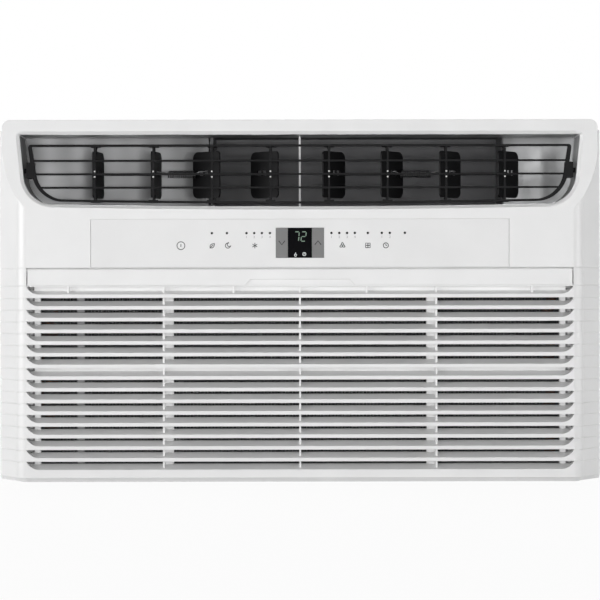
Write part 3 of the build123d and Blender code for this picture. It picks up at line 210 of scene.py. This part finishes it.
def silver_plastic(name, colour, roughness):
    """Silver-grey moulding with a metallic sheen, and painted reflection streaks: colour that runs lighter
    and darker in bands from side to side.
    """
    made, tree, shader = tree_of(name, roughness, metallic=0.6)
    painted_reflection_streaks = noise(tree, 20, detail=1, stretch=(1, 1, 0.15))
    # painted reflection: bright and dark streaks in the colour stand for the vanes and lamps mirrored in the
    # walls
    tone(tree, shader, painted_reflection_streaks, shade(colour, 0.45), shade(colour, 1.6))
    uneven = noise(tree, 60)
    vary_roughness(tree, shader, uneven, roughness * 0.9, roughness * 1.15)
    fine_grain = noise(tree, 1500)
    relief(tree, shader, fine_grain, height=0.00001)
    return made


def sheet_metal(name, colour, roughness):
    """Zinc coated sheet: crystal spangle in colour and gloss."""
    made, tree, shader = tree_of(name, roughness, metallic=1.0)
    spangle = cells(tree, 110).outputs["Color"]
    tone(tree, shader, spangle, shade(colour, 0.82), shade(colour, 1.08), low=0.1, high=0.9)
    vary_roughness(tree, shader, spangle, roughness * 0.8, roughness * 1.25)
    dents = noise(tree, 90)
    relief(tree, shader, dents, height=0.00003)
    return made


def drawn_metal(name, colour, roughness, stretch):
    """Metal with fine lines along the way it was drawn or turned, and some tarnish."""
    made, tree, shader = tree_of(name, roughness, metallic=1.0)
    tarnish = noise(tree, 30, detail=4)
    tone(tree, shader, tarnish, shade(colour, 0.75), shade(colour, 1.1))
    lines = noise(tree, 120, detail=3, stretch=stretch)
    vary_roughness(tree, shader, lines, roughness * 0.75, roughness * 1.3)
    relief(tree, shader, lines, height=0.00002)
    return made


def painted_metal(name, colour, roughness, grain, gloss=0.5):
    """Paint on metal with an orange-peel surface."""
    made, tree, shader = tree_of(name, roughness)
    shader.inputs["Specular IOR Level"].default_value = gloss
    speckle = noise(tree, 160)
    tone(tree, shader, speckle, shade(colour, 0.975), shade(colour, 1.015))
    uneven = noise(tree, 90)
    vary_roughness(tree, shader, uneven, roughness * 0.9, roughness * 1.1)
    orange_peel = noise(tree, 700)
    relief(tree, shader, orange_peel, grain)
    return made


def fin_stock(name, colour, pitch):
    """A block of thin fins: narrow bright edges, with painted shade as dark gaps between them."""
    made, tree, shader = tree_of(name, roughness=0.35, metallic=1.0)
    fin_edges_and_painted_gap_shade = bands(tree, "X", pitch)
    # painted shade: the dark bands stand for the shade that falls in the gaps between the fins
    tone(tree, shader, fin_edges_and_painted_gap_shade, shade(colour, 0.12), colour, low=0.35, high=0.75)
    relief(tree, shader, fin_edges_and_painted_gap_shade, height=pitch / 4)
    return made


def foam(name, colour):
    """Expanded foam with pressed beads."""
    made, tree, shader = tree_of(name, roughness=0.85)
    beads = cells(tree, 330).outputs["Distance"]
    tone(tree, shader, beads, colour, shade(colour, 0.8), low=0.2, high=0.9)
    relief(tree, shader, beads, height=-0.0002)
    return made


def circuit_board(name, colour):
    """Solder mask with paler tracks."""
    made, tree, shader = tree_of(name, roughness=0.4)
    place = tree.nodes.new("ShaderNodeTexCoord")
    turned = tree.nodes.new("ShaderNodeMapping")
    turned.inputs["Rotation"].default_value = (math.pi / 2, 0, 0)
    tracks = tree.nodes.new("ShaderNodeTexBrick")
    tracks.inputs["Scale"].default_value = 90
    tracks.inputs["Mortar Size"].default_value = 0.04
    tree.links.new(place.outputs["Object"], turned.inputs["Vector"])
    tree.links.new(turned.outputs["Vector"], tracks.inputs["Vector"])
    tone(tree, shader, tracks.outputs["Fac"], colour, shade(colour, 1.9), low=0, high=1)
    return made


def glow(name, colour, strength):
    """A lit segment, a little uneven."""
    made, tree, shader = tree_of(name, roughness=0.4)
    flicker = noise(tree, 300)
    tone(tree, shader, flicker, shade(colour, 0.5), shade(colour, 0.6))
    shader.inputs["Emission Color"].default_value = (*colour, 1)
    shader.inputs["Emission Strength"].default_value = strength
    return made


# A material for each slot, with its colour and roughness
materials = {
    "white_panel": moulded("white_panel", (0.80, 0.80, 0.80), 0.36, rounding=0.0005),
    "white_film": moulded("white_film", (0.80, 0.80, 0.80), 0.42, grain=0.00001),
    "black_louvre": moulded("black_louvre", (0.005, 0.005, 0.0055), 0.45, rounding=0.0003, gloss=0.10),
    "black_spring": drawn_metal("black_spring", (0.16, 0.16, 0.162), 0.35, stretch=(1, 1, 1)),
    "grey_key": moulded("grey_key", (0.155, 0.155, 0.155), 0.45),
    "display_black": moulded("display_black", (0.003, 0.003, 0.004), 0.08, grain=0.000001, gloss=0.03),
    "lamp_clear": moulded("lamp_clear", (0.012, 0.012, 0.013), 0.3, gloss=0.1),
    "board_green": circuit_board("board_green", (0.02, 0.13, 0.05)),
    # its colour carries painted reflection streaks
    "grey_duct": silver_plastic("grey_duct", (0.19, 0.192, 0.194), 0.34),
    "dark_duct": moulded("dark_duct", (0.10, 0.10, 0.105), 0.5),
    "filter_grey": moulded("filter_grey", (0.25, 0.25, 0.255), 0.5),
    "filter_net": moulded("filter_net", (0.02, 0.02, 0.022), 0.7, grain=0.0001),
    "case_paint": painted_metal("case_paint", (0.50, 0.51, 0.51), 0.6, grain=0.00005, gloss=0.2),
    "galvanised": sheet_metal("galvanised", (0.56, 0.57, 0.58), 0.38),
    "bright_steel": drawn_metal("bright_steel", (0.66, 0.66, 0.67), 0.28, stretch=(1, 12, 1)),
    "white_foam": foam("white_foam", (0.80, 0.80, 0.78)),
    # its dark bands are painted shade between the fins
    "fin_aluminium": fin_stock("fin_aluminium", (0.72, 0.73, 0.74), pitch=0.0018),
    "copper": drawn_metal("copper", (0.72, 0.33, 0.2), 0.32, stretch=(1, 1, 8)),
    "black_paint": painted_metal("black_paint", (0.015, 0.015, 0.015), 0.3, grain=0.00005),
    "motor_grey": painted_metal("motor_grey", (0.3, 0.31, 0.32), 0.4, grain=0.00004),
    "fan_plastic": moulded("fan_plastic", (0.07, 0.07, 0.075), 0.45),
    "black_rubber": moulded("black_rubber", (0.015, 0.015, 0.015), 0.75, grain=0.00006),
    "capacitor_can": drawn_metal("capacitor_can", (0.7, 0.7, 0.71), 0.3, stretch=(8, 8, 1)),
}

# Materials of the pieces that are added here
# its colour carries painted reflection streaks
liner_silver = silver_plastic("liner_silver", (0.46, 0.464, 0.468), 0.34)
fin_metal = drawn_metal("fin_metal", (0.62, 0.63, 0.64), 0.4, stretch=(1, 1, 6))
ink = moulded("ink", (0.035, 0.035, 0.038), 0.6)
pale_ink = moulded("pale_ink", (0.30, 0.30, 0.31), 0.6)
key_ink = moulded("key_ink", (0.025, 0.025, 0.025), 0.6, gloss=0.2)
# painted glints: a pale colour for the dots on the vane clips
painted_glint_pin = moulded("painted_glint_pin", (0.75, 0.75, 0.73), 0.4)
digit_glow = glow("digit_glow", (0.24, 0.36, 0.27), strength=0.2)
caption_glow = glow("caption_glow", (0.75, 0.78, 0.78), strength=0.5)

for part in frame["record"]["subparts"]:
    piece = nodes[part["node"]]
    piece.data.materials.clear()
    piece.data.materials.append(materials[part["material_slot"]])

# Angle between faces from which an edge stays sharp
crease = math.radians(40)


def mesh_from(curve):
    """The mesh that a curve or text makes, with the curve taken away again."""
    holder = bpy.data.objects.new("holder", curve)
    bpy.context.scene.collection.objects.link(holder)
    bpy.context.view_layer.update()
    seen = holder.evaluated_get(bpy.context.evaluated_depsgraph_get())
    made = bpy.data.meshes.new_from_object(seen)
    bpy.data.objects.remove(holder)
    return made


def tube_mesh(paths, radius, closed=False, sides=2):
    """Round tubes along lists of points."""
    curve = bpy.data.curves.new("paths", "CURVE")
    curve.dimensions = "3D"
    curve.bevel_depth = radius
    curve.bevel_resolution = sides
    curve.use_fill_caps = True
    for points in paths:
        spline = curve.splines.new("POLY")
        spline.points.add(len(points) - 1)
        for slot_point, point in zip(spline.points, points):
            slot_point.co = (*point, 1)
        spline.use_cyclic_u = closed
    return mesh_from(curve)


def add_piece(name, mesh, material, body):
    """A piece from a ready mesh that rides on a body, or on none yet."""
    mesh.materials.clear()
    mesh.materials.append(material)
    for face in mesh.polygons:
        face.use_smooth = True
    mesh.set_sharp_from_angle(angle=crease)
    piece = bpy.data.objects.new(name, mesh)
    bpy.context.scene.collection.objects.link(piece)
    if body:
        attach(piece, body)
    return piece


# Printed marks: flat strokes drawn in a plane that faces the front
mark_thickness = 0.00006
mark_stroke = 0.0008
figure_drop = 0.0052
figure_size = 0.0034


def print_strokes(name, paths, stroke, face_y, material, body):
    """Strokes through points in X and Z, printed on a face."""
    mesh = tube_mesh([[(x, 0, z) for x, z in points] for points in paths], stroke / 2)
    mesh.transform(Matrix.Diagonal((1, 2 * mark_thickness / stroke, 1, 1)))
    mesh.transform(Matrix.Translation((0, face_y - mark_thickness / 2, 0)))
    return add_piece(name, mesh, material, body)


def arc(x, z, radius, begin, end, steps=20):
    """Points along a round arc, in degrees from +X towards +Z."""
    angles = [math.radians(begin + (end - begin) * step / steps) for step in range(steps + 1)]
    return [(x + radius * math.cos(angle), z + radius * math.sin(angle)) for angle in angles]


def petal(x, z, length, half, turn, steps=14):
    """A leaf outline that starts and ends at a point, turned by degrees."""
    ahead = (math.cos(math.radians(turn)), math.sin(math.radians(turn)))
    outline = []
    for step in range(2 * steps + 1):
        along = step / steps if step <= steps else 2 - step / steps
        side = 1 if step <= steps else -1
        aside = side * half * math.sin(math.pi * along ** 0.8)
        outline.append((x + length * along * ahead[0] - aside * ahead[1],
                        z + length * along * ahead[1] + aside * ahead[0]))
    return outline


def spoke(x, z, radius, turn):
    """A line through a point, turned by degrees."""
    across = radius * math.cos(math.radians(turn))
    up = radius * math.sin(math.radians(turn))
    return [(x - across, z - up), (x + across, z + up)]


def leaf_mark(x, z):
    """A leaf with a vein that runs out as its stalk."""
    root = 0.0022
    stalk = 0.0027
    vein = 0.0010
    blade = petal(x - root, z - root, length=0.0062, half=0.0018, turn=45)
    return [blade, [(x - stalk, z - stalk), (x + vein, z + vein)]]


def moon_mark(x, z):
    """A crescent moon."""
    back = arc(x, z, radius=0.0026, begin=70, end=350)
    hollow = arc(x + 0.0014, z + 0.0012, radius=0.0021, begin=325, end=100)
    return [back + hollow]


def snow_mark(x, z):
    """A snow crystal of three spokes."""
    return [spoke(x, z, radius=0.0028, turn=turn) for turn in (30, 90, 150)]


def fan_mark(x, z):
    """A fan of three blades."""
    return [petal(x, z, length=0.0031, half=0.0011, turn=turn) for turn in (90, 210, 330)]


def filter_mark(x, z):
    """A square with a cross in it."""
    half = 0.0023
    frame_line = [(x - half, z - half), (x + half, z - half), (x + half, z + half), (x - half, z + half),
                  (x - half, z - half)]
    return [frame_line, [(x, z - half), (x, z + half)], [(x - half, z), (x + half, z)]]


def clock_mark(x, z):
    """A clock with two hands."""
    dial = arc(x, z, radius=0.0026, begin=0, end=360)
    hands = [(x, z + 0.0017), (x, z), (x + 0.0012, z - 0.0005)]
    return [dial, hands]


def power_mark(x, z):
    """A ring with an upright bar in it."""
    ring = arc(x, z, radius=0.0040, begin=0, end=360, steps=40)
    bar = [(x, z - 0.0013), (x, z + 0.0017)]
    return [ring, bar]


film_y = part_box("control_film")[0].y
marks = {"power": power_mark, "eco": leaf_mark, "sleep": moon_mark, "mode": snow_mark,
         "fan_speed": fan_mark, "filter": filter_mark, "timer": clock_mark}
for key, mark in marks.items():
    paths = mark(key_places[key], key_z)
    print_strokes("mark_" + key, paths, mark_stroke, film_y, ink, "chassis")


def print_text(name, text, x, z, size, face_y, material, body):
    """A line of figures printed on a face, centred on a point."""
    curve = bpy.data.curves.new(name, "FONT")
    curve.body = text
    curve.size = size
    curve.align_x = "CENTER"
    curve.extrude = mark_thickness / 2
    mesh = mesh_from(curve)
    upright = Matrix.Rotation(math.pi / 2, 4, "X")
    mesh.transform(Matrix.Translation((x, face_y - mark_thickness / 2, z)) @ upright)
    return add_piece(name, mesh, material, body)


for group, places in enumerate(numbered_lamps):
    for number, place in enumerate(places):
        print_text(f"figure_{group}_{number}", str(number + 1), place, lamp_z - figure_drop, figure_size,
                   film_y, pale_ink, "chassis")

# Chevrons on the two grey keys, one that points down and one that points up
chevron_half = 0.0032
chevron_rise = 0.0020
chevron_stroke = 0.0009
for key, way in (("key_down", -1), ("key_up", 1)):
    centre = way * arrow_x
    tip = (centre, display_z + way * chevron_rise)
    tails = [(centre + side * chevron_half, display_z - way * chevron_rise) for side in (-1, 1)]
    print_strokes("chevron_" + key, [[tails[0], tip, tails[1]]],
                  chevron_stroke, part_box(key)[0].y, key_ink, key)

# Two lit figures in the display, made of seven bars each
digit_width = 0.0046
digit_height = 0.0096
digit_z = 0.2513
digit_lean = 0.09
digit_places = {7: -0.0033, 2: 0.0038}
bar_width = 0.0009
bar_trim = 0.6 * bar_width
lit_bars = {7: "abc", 2: "abged"}
window_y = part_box("display_window")[0].y


def bar_ends(letter):
    """Ends of one of the seven bars, in shares of the figure's width and height."""
    rows = {"a": ((0, 1), (1, 1)), "b": ((1, 1), (1, 0.5)), "c": ((1, 0.5), (1, 0)), "d": ((0, 0), (1, 0)),
            "e": ((0, 0), (0, 0.5)), "f": ((0, 0.5), (0, 1)), "g": ((0, 0.5), (1, 0.5))}
    return rows[letter]


for figure, place in digit_places.items():
    paths = []
    for letter in lit_bars[figure]:
        ends = []
        for share_x, share_z in bar_ends(letter):
            up = (share_z - 0.5) * digit_height
            ends.append((place + (share_x - 0.5) * digit_width + digit_lean * up, digit_z + up))
        first = Vector(ends[0])
        second = Vector(ends[1])
        trim = (second - first).normalized() * bar_trim
        paths.append([tuple(first + trim), tuple(second - trim)])
    print_strokes(f"digit_{figure}", paths, bar_width, window_y, digit_glow, "chassis")

# Two small symbols below the figures: a thermometer on the left and a clock on the right
caption_x = 0.0045
caption_z = 0.2333
caption_stroke = 0.0006
bulb_radius = 0.0011
bulb = arc(-caption_x, caption_z - bulb_radius, bulb_radius, begin=0, end=360)
stem = [(-caption_x, caption_z), (-caption_x, caption_z + 0.0017)]
dial = arc(caption_x, caption_z, radius=0.0016, begin=0, end=360)
hands = [(caption_x, caption_z + 0.0010), (caption_x, caption_z), (caption_x + 0.0008, caption_z)]
print_strokes("display_caption", [bulb, stem, dial, hands], caption_stroke, window_y, caption_glow,
              "chassis")


def vane_x(index):
    """Where a vane's pivot stands from side to side."""
    return (index - (vane_count - 1) / 2) * vane_pitch


# Springs: wound wire with a hook at each end, in two halves, each named after the vane at its own end
hook_steps = 24
hook_wrap = 240
hook_first = 330
hook_last = -90
steps_a_turn = 24


def pin_place(index):
    """Where a vane's link pin stands at rest."""
    angle = math.radians(vane_angles[index])
    return Vector((vane_x(index) + link_arm * math.sin(angle), pivot_y + link_arm * math.cos(angle), hook_z))


def spring_halves(first, second, lead_in, lead_out):
    """Points along the wire from one hook to the other, split in the middle of the coil."""
    axis = (second - first).normalized()
    across = Vector((-axis.y, axis.x, 0))
    up = Vector((0, 0, 1))
    span = (second - first).length
    coil = span - lead_in - lead_out

    def place(along, aside, rise):
        return first + axis * along + across * aside + up * rise

    def hook(centre, degrees):
        angle = math.radians(degrees)
        return place(centre + spring_radius * math.cos(angle), spring_radius * math.sin(angle), 0)

    wrap = hook_wrap / hook_steps
    route = [hook(0, hook_first - wrap * step) for step in range(hook_steps + 1)]
    route.append(place(lead_in - 2 * spring_drop, spring_radius, 0))
    coil_steps = int(spring_turns * steps_a_turn)
    for step in range(coil_steps + 1):
        angle = 2 * math.pi * spring_turns * step / coil_steps
        along = lead_in + coil * step / coil_steps
        aside = spring_radius * math.cos(angle)
        rise = -spring_radius * math.sin(angle) - spring_drop
        route.append(place(along, aside, rise))
    route.append(place(span - lead_out + 2 * spring_drop, -spring_radius, 0))
    route += [hook(span, hook_last + wrap * step) for step in range(hook_steps + 1)]
    middle = len(route) // 2
    return route[:middle + 1], route[middle:]


for left, leads in spring_leads.items():
    vanes = (f"vane_{left + 1}", f"vane_{left + 2}")
    pins = (pin_place(left), pin_place(left + 1))
    centre = (pins[0] + pins[1]) / 2
    for vane, pin, points in zip(vanes, pins, spring_halves(*pins, *leads)):
        mesh = tube_mesh([points], spring_wire, sides=3)
        piece = add_piece("spring_" + vane, mesh, materials["black_spring"], None)
        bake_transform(piece)
        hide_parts("vane_springs")

# Silver liner on the outlet's walls, from behind the bevel to the duct
outlet_top = Vector((0.291, 0.3593))
outlet_side = Vector((0.2865, 0.312))
outlet_foot = Vector((0.250, 0.2815))
outlet_sag = 0.0025
outlet_bevel = 0.003
duct_setback = 0.0498
liner_gap = 0.00005
liner_sheet = 0.0002
liner_front = front + outlet_bevel + liner_sheet
liner_back = front + duct_setback


def outlet_half_outline():
    """Right half of the outlet's outline, from the middle of its top to the middle of its foot."""
    way = (outlet_side - outlet_top).normalized()
    chord = outlet_foot - outlet_side
    turn = way.angle_signed(chord)
    radius = chord.length / (2 * math.sin(turn))
    corner = []
    corner_steps = 24
    for step in range(corner_steps + 1):
        angle = turn * step / corner_steps
        ahead = way.copy()
        ahead.rotate(Matrix.Rotation(-angle, 2))
        corner.append(outlet_side + ahead * 2 * radius * math.sin(angle))
    foot_steps = 12
    foot = []
    for step in range(1, foot_steps + 1):
        share = 1 - step / foot_steps
        foot.append(Vector((outlet_foot.x * share, outlet_foot.y - outlet_sag * (1 - share ** 2))))
    return [Vector((0, outlet_top.y)), outlet_top] + corner + foot


def inset_loop(inset):
    """The outlet's whole outline, moved inwards."""
    right = outlet_half_outline()
    loop = right + [Vector((-point.x, point.y)) for point in reversed(right[1:-1])]
    moved = []
    for before, point, after in zip(loop[-1:] + loop[:-1], loop, loop[1:] + loop[:1]):
        first = (point - before).normalized()
        second = (after - point).normalized()
        inwards = Vector((first.y + second.y, -first.x - second.x)).normalized()
        moved.append(point + inwards * inset / inwards.dot(Vector((first.y, -first.x))))
    return moved


liner_outer = outlet_bevel + liner_gap
liner_inner = liner_outer + liner_sheet
liner_loops = [(liner_outer, liner_front), (liner_outer, liner_back),
               (liner_inner, liner_back), (liner_inner, liner_front)]
liner_points = []
for inset, depth in liner_loops:
    liner_points += [(point.x, depth, point.y) for point in inset_loop(inset)]
loop_size = len(liner_points) // len(liner_loops)
liner_faces = []
for ring in range(len(liner_loops)):
    next_ring = (ring + 1) % len(liner_loops)
    for index in range(loop_size):
        following = (index + 1) % loop_size
        liner_faces.append((ring * loop_size + index, ring * loop_size + following,
                            next_ring * loop_size + following, next_ring * loop_size + index))
liner = bpy.data.meshes.new("outlet_liner")
liner.from_pydata(liner_points, [], liner_faces)
add_piece("outlet_liner", liner, liner_silver, "chassis")

# Edges of the condenser's fins, which stand out of the finned block behind the rear guard
fin_pitch = 0.0024
fin_half_sheet = 0.0004
fin_reach = 0.004
fin_bite = 0.0005
coil_low, coil_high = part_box("condenser_fins")
fin_margin = 0.004
fin_count = int((coil_high.x - coil_low.x - 2 * fin_margin) / fin_pitch)
fins = bmesh.new()
for index in range(fin_count + 1):
    x = (coil_low.x + coil_high.x) / 2 + (index - fin_count / 2) * fin_pitch
    middle = Vector((x, coil_high.y + (fin_reach - fin_bite) / 2, (coil_low.z + coil_high.z) / 2))
    size = Vector((2 * fin_half_sheet, fin_reach + fin_bite, coil_high.z - coil_low.z - 2 * fin_margin))
    bmesh.ops.create_cube(fins, size=1, matrix=Matrix.Translation(middle) @ Matrix.Diagonal((*size, 1)))
fin_edges = bpy.data.meshes.new("condenser_fin_edges")
fins.to_mesh(fin_edges)
fins.free()
add_piece("condenser_fin_edges", fin_edges, fin_metal, "chassis")

# Fine dark weave over the filter's coarse net
weave_pitch = 0.0012
weave_strand = 0.0003
net_low, net_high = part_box("filter_mesh")
net_y = (net_low.y + net_high.y) / 2
upright_count = round((net_high.x - net_low.x) / weave_pitch)
level_count = round((net_high.z - net_low.z) / weave_pitch)
strands = []
for index in range(1, upright_count):
    x = net_low.x + index * weave_pitch
    strands.append([(x, net_y - weave_strand / 2, net_low.z), (x, net_y - weave_strand / 2, net_high.z)])
for index in range(1, level_count):
    z = net_low.z + index * weave_pitch
    strands.append([(net_low.x, net_y + weave_strand / 2, z), (net_high.x, net_y + weave_strand / 2, z)])
weave = tube_mesh(strands, weave_strand, sides=0)
add_piece("filter_weave", weave, materials["filter_net"], "chassis")

# Pale dots above and below the middle bar, a pair in front of each vane: painted glints, small pale spheres
# that stand for the highlights on the clip that holds each vane
glint_dot_radius = 0.0009
glint_dot_offset = 0.0028
for index in range(vane_count):
    for side in (1, -1):
        bpy.ops.mesh.primitive_uv_sphere_add(
            segments=16, ring_count=8, radius=glint_dot_radius,
            location=(vane_x(index), bar_y, middle_bar_z + side * glint_dot_offset))
        glint_dot = bpy.context.object
        glint_dot.name = f"rivet_{index}_{'upper' if side > 0 else 'lower'}"
        glint_dot.data.materials.append(painted_glint_pin)
        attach(glint_dot, "louvre_frame")


# Studio: a white floor, backdrop and surroundings, and soft lights
stage_size = 12
backdrop_y = 3


def seen_share(tree, hidden, shown):
    """One value for what the lens sees, straight or in gloss and glass, and another for all other light."""
    ray = tree.nodes.new("ShaderNodeLightPath")
    seen = tree.nodes.new("ShaderNodeMath")
    seen.operation = "ADD"
    tree.links.new(ray.outputs["Is Camera Ray"], seen.inputs[0])
    tree.links.new(ray.outputs["Is Glossy Ray"], seen.inputs[1])
    through = tree.nodes.new("ShaderNodeMath")
    through.operation = "ADD"
    tree.links.new(seen.outputs[0], through.inputs[0])
    tree.links.new(ray.outputs["Is Transmission Ray"], through.inputs[1])
    share = tree.nodes.new("ShaderNodeMapRange")
    share.inputs["To Min"].default_value = hidden
    share.inputs["To Max"].default_value = shown
    tree.links.new(through.outputs[0], share.inputs["Value"])
    return share.outputs["Result"]


def stage_white(name, own_light):
    """White that is lit by itself by this share where it is seen, and takes shadows in the rest."""
    made = bpy.data.materials.new(name)
    made.use_nodes = True
    tree = made.node_tree
    tree.nodes.remove(tree.nodes["Principled BSDF"])
    matt = tree.nodes.new("ShaderNodeBsdfDiffuse")
    matt.inputs["Color"].default_value = (0.85, 0.85, 0.85, 1)
    light = tree.nodes.new("ShaderNodeEmission")
    mix = tree.nodes.new("ShaderNodeMixShader")
    tree.links.new(seen_share(tree, 0, own_light), mix.inputs["Fac"])
    tree.links.new(matt.outputs[0], mix.inputs[1])
    tree.links.new(light.outputs[0], mix.inputs[2])
    tree.links.new(mix.outputs[0], tree.nodes["Material Output"].inputs["Surface"])
    return made


bpy.ops.mesh.primitive_plane_add(size=stage_size, location=(0, 0, 0))
floor = bpy.context.object
floor.name = "floor"
floor.data.materials.append(stage_white("floor_white", own_light=0.95))
bpy.ops.mesh.primitive_plane_add(size=stage_size, location=(0, backdrop_y, stage_size / 2),
                                 rotation=(math.pi / 2, 0, 0))
backdrop = bpy.context.object
backdrop.name = "backdrop"
backdrop.data.materials.append(stage_white("backdrop_white", own_light=1.0))

world = bpy.data.worlds.new("studio")
world.use_nodes = True
sky = world.node_tree.nodes["Background"]
sky.inputs["Color"].default_value = (1, 1, 1, 1)
world.node_tree.links.new(seen_share(world.node_tree, world_light, 1), sky.inputs["Strength"])
bpy.context.scene.world = world


def softbox(name, place, target, size_across, size_up, share):
    """A soft light at a place that faces a target.

    A matt white surface at the target that faces the light shows this share of full white.
    """
    way = Vector(place) - Vector(target)
    lamp = bpy.data.lights.new(name, "AREA")
    lamp.shape = "RECTANGLE"
    lamp.size = size_across
    lamp.size_y = size_up
    lamp.energy = share * (math.pi * way.length) ** 2
    holder = bpy.data.objects.new(name, lamp)
    holder.location = place
    holder.rotation_euler = way.to_track_quat("Z", "Y").to_euler()
    bpy.context.scene.collection.objects.link(holder)


# The side lights stand at one height, and the front light stays low so that it fills the intake
side_light_z = 0.42
front_light_z = 0.115
side_target = (0, 0, side_light_z)
front_target = (0, 0, front_light_z)
foot_target = (0, 0, 0)
softbox("left_light", (-2.6, -1.5, side_light_z), side_target, size_across=2.2, size_up=0.7, share=0.52)
softbox("right_light", (2.6, -1.5, side_light_z), side_target, size_across=1.8, size_up=0.7, share=0.29)
softbox("front_light", (0, -3.4, front_light_z), front_target, size_across=1.8, size_up=0.17, share=0.25)
softbox("top_light", (0, 0.6, 2.6), foot_target, size_across=1.4, size_up=1.4, share=0.22)
for name, x in (("back_left_light", -1.0), ("back_right_light", 1.0)):
    softbox(name, (x, 2.6, 1.1), foot_target, size_across=1.0, size_up=1.0, share=0.26)

# Camera straight in front of the panel
camera = bpy.data.objects.new("camera", bpy.data.cameras.new("camera"))
camera.data.sensor_width = sensor
camera.data.lens = sensor * view_distance / photo_width
camera.location = (0, front - view_distance, photo_middle_z)
camera.rotation_euler = (math.pi / 2, photo_roll, 0)
bpy.context.scene.collection.objects.link(camera)
bpy.context.scene.camera = camera
bpy.context.scene.view_settings.view_transform = "Standard"
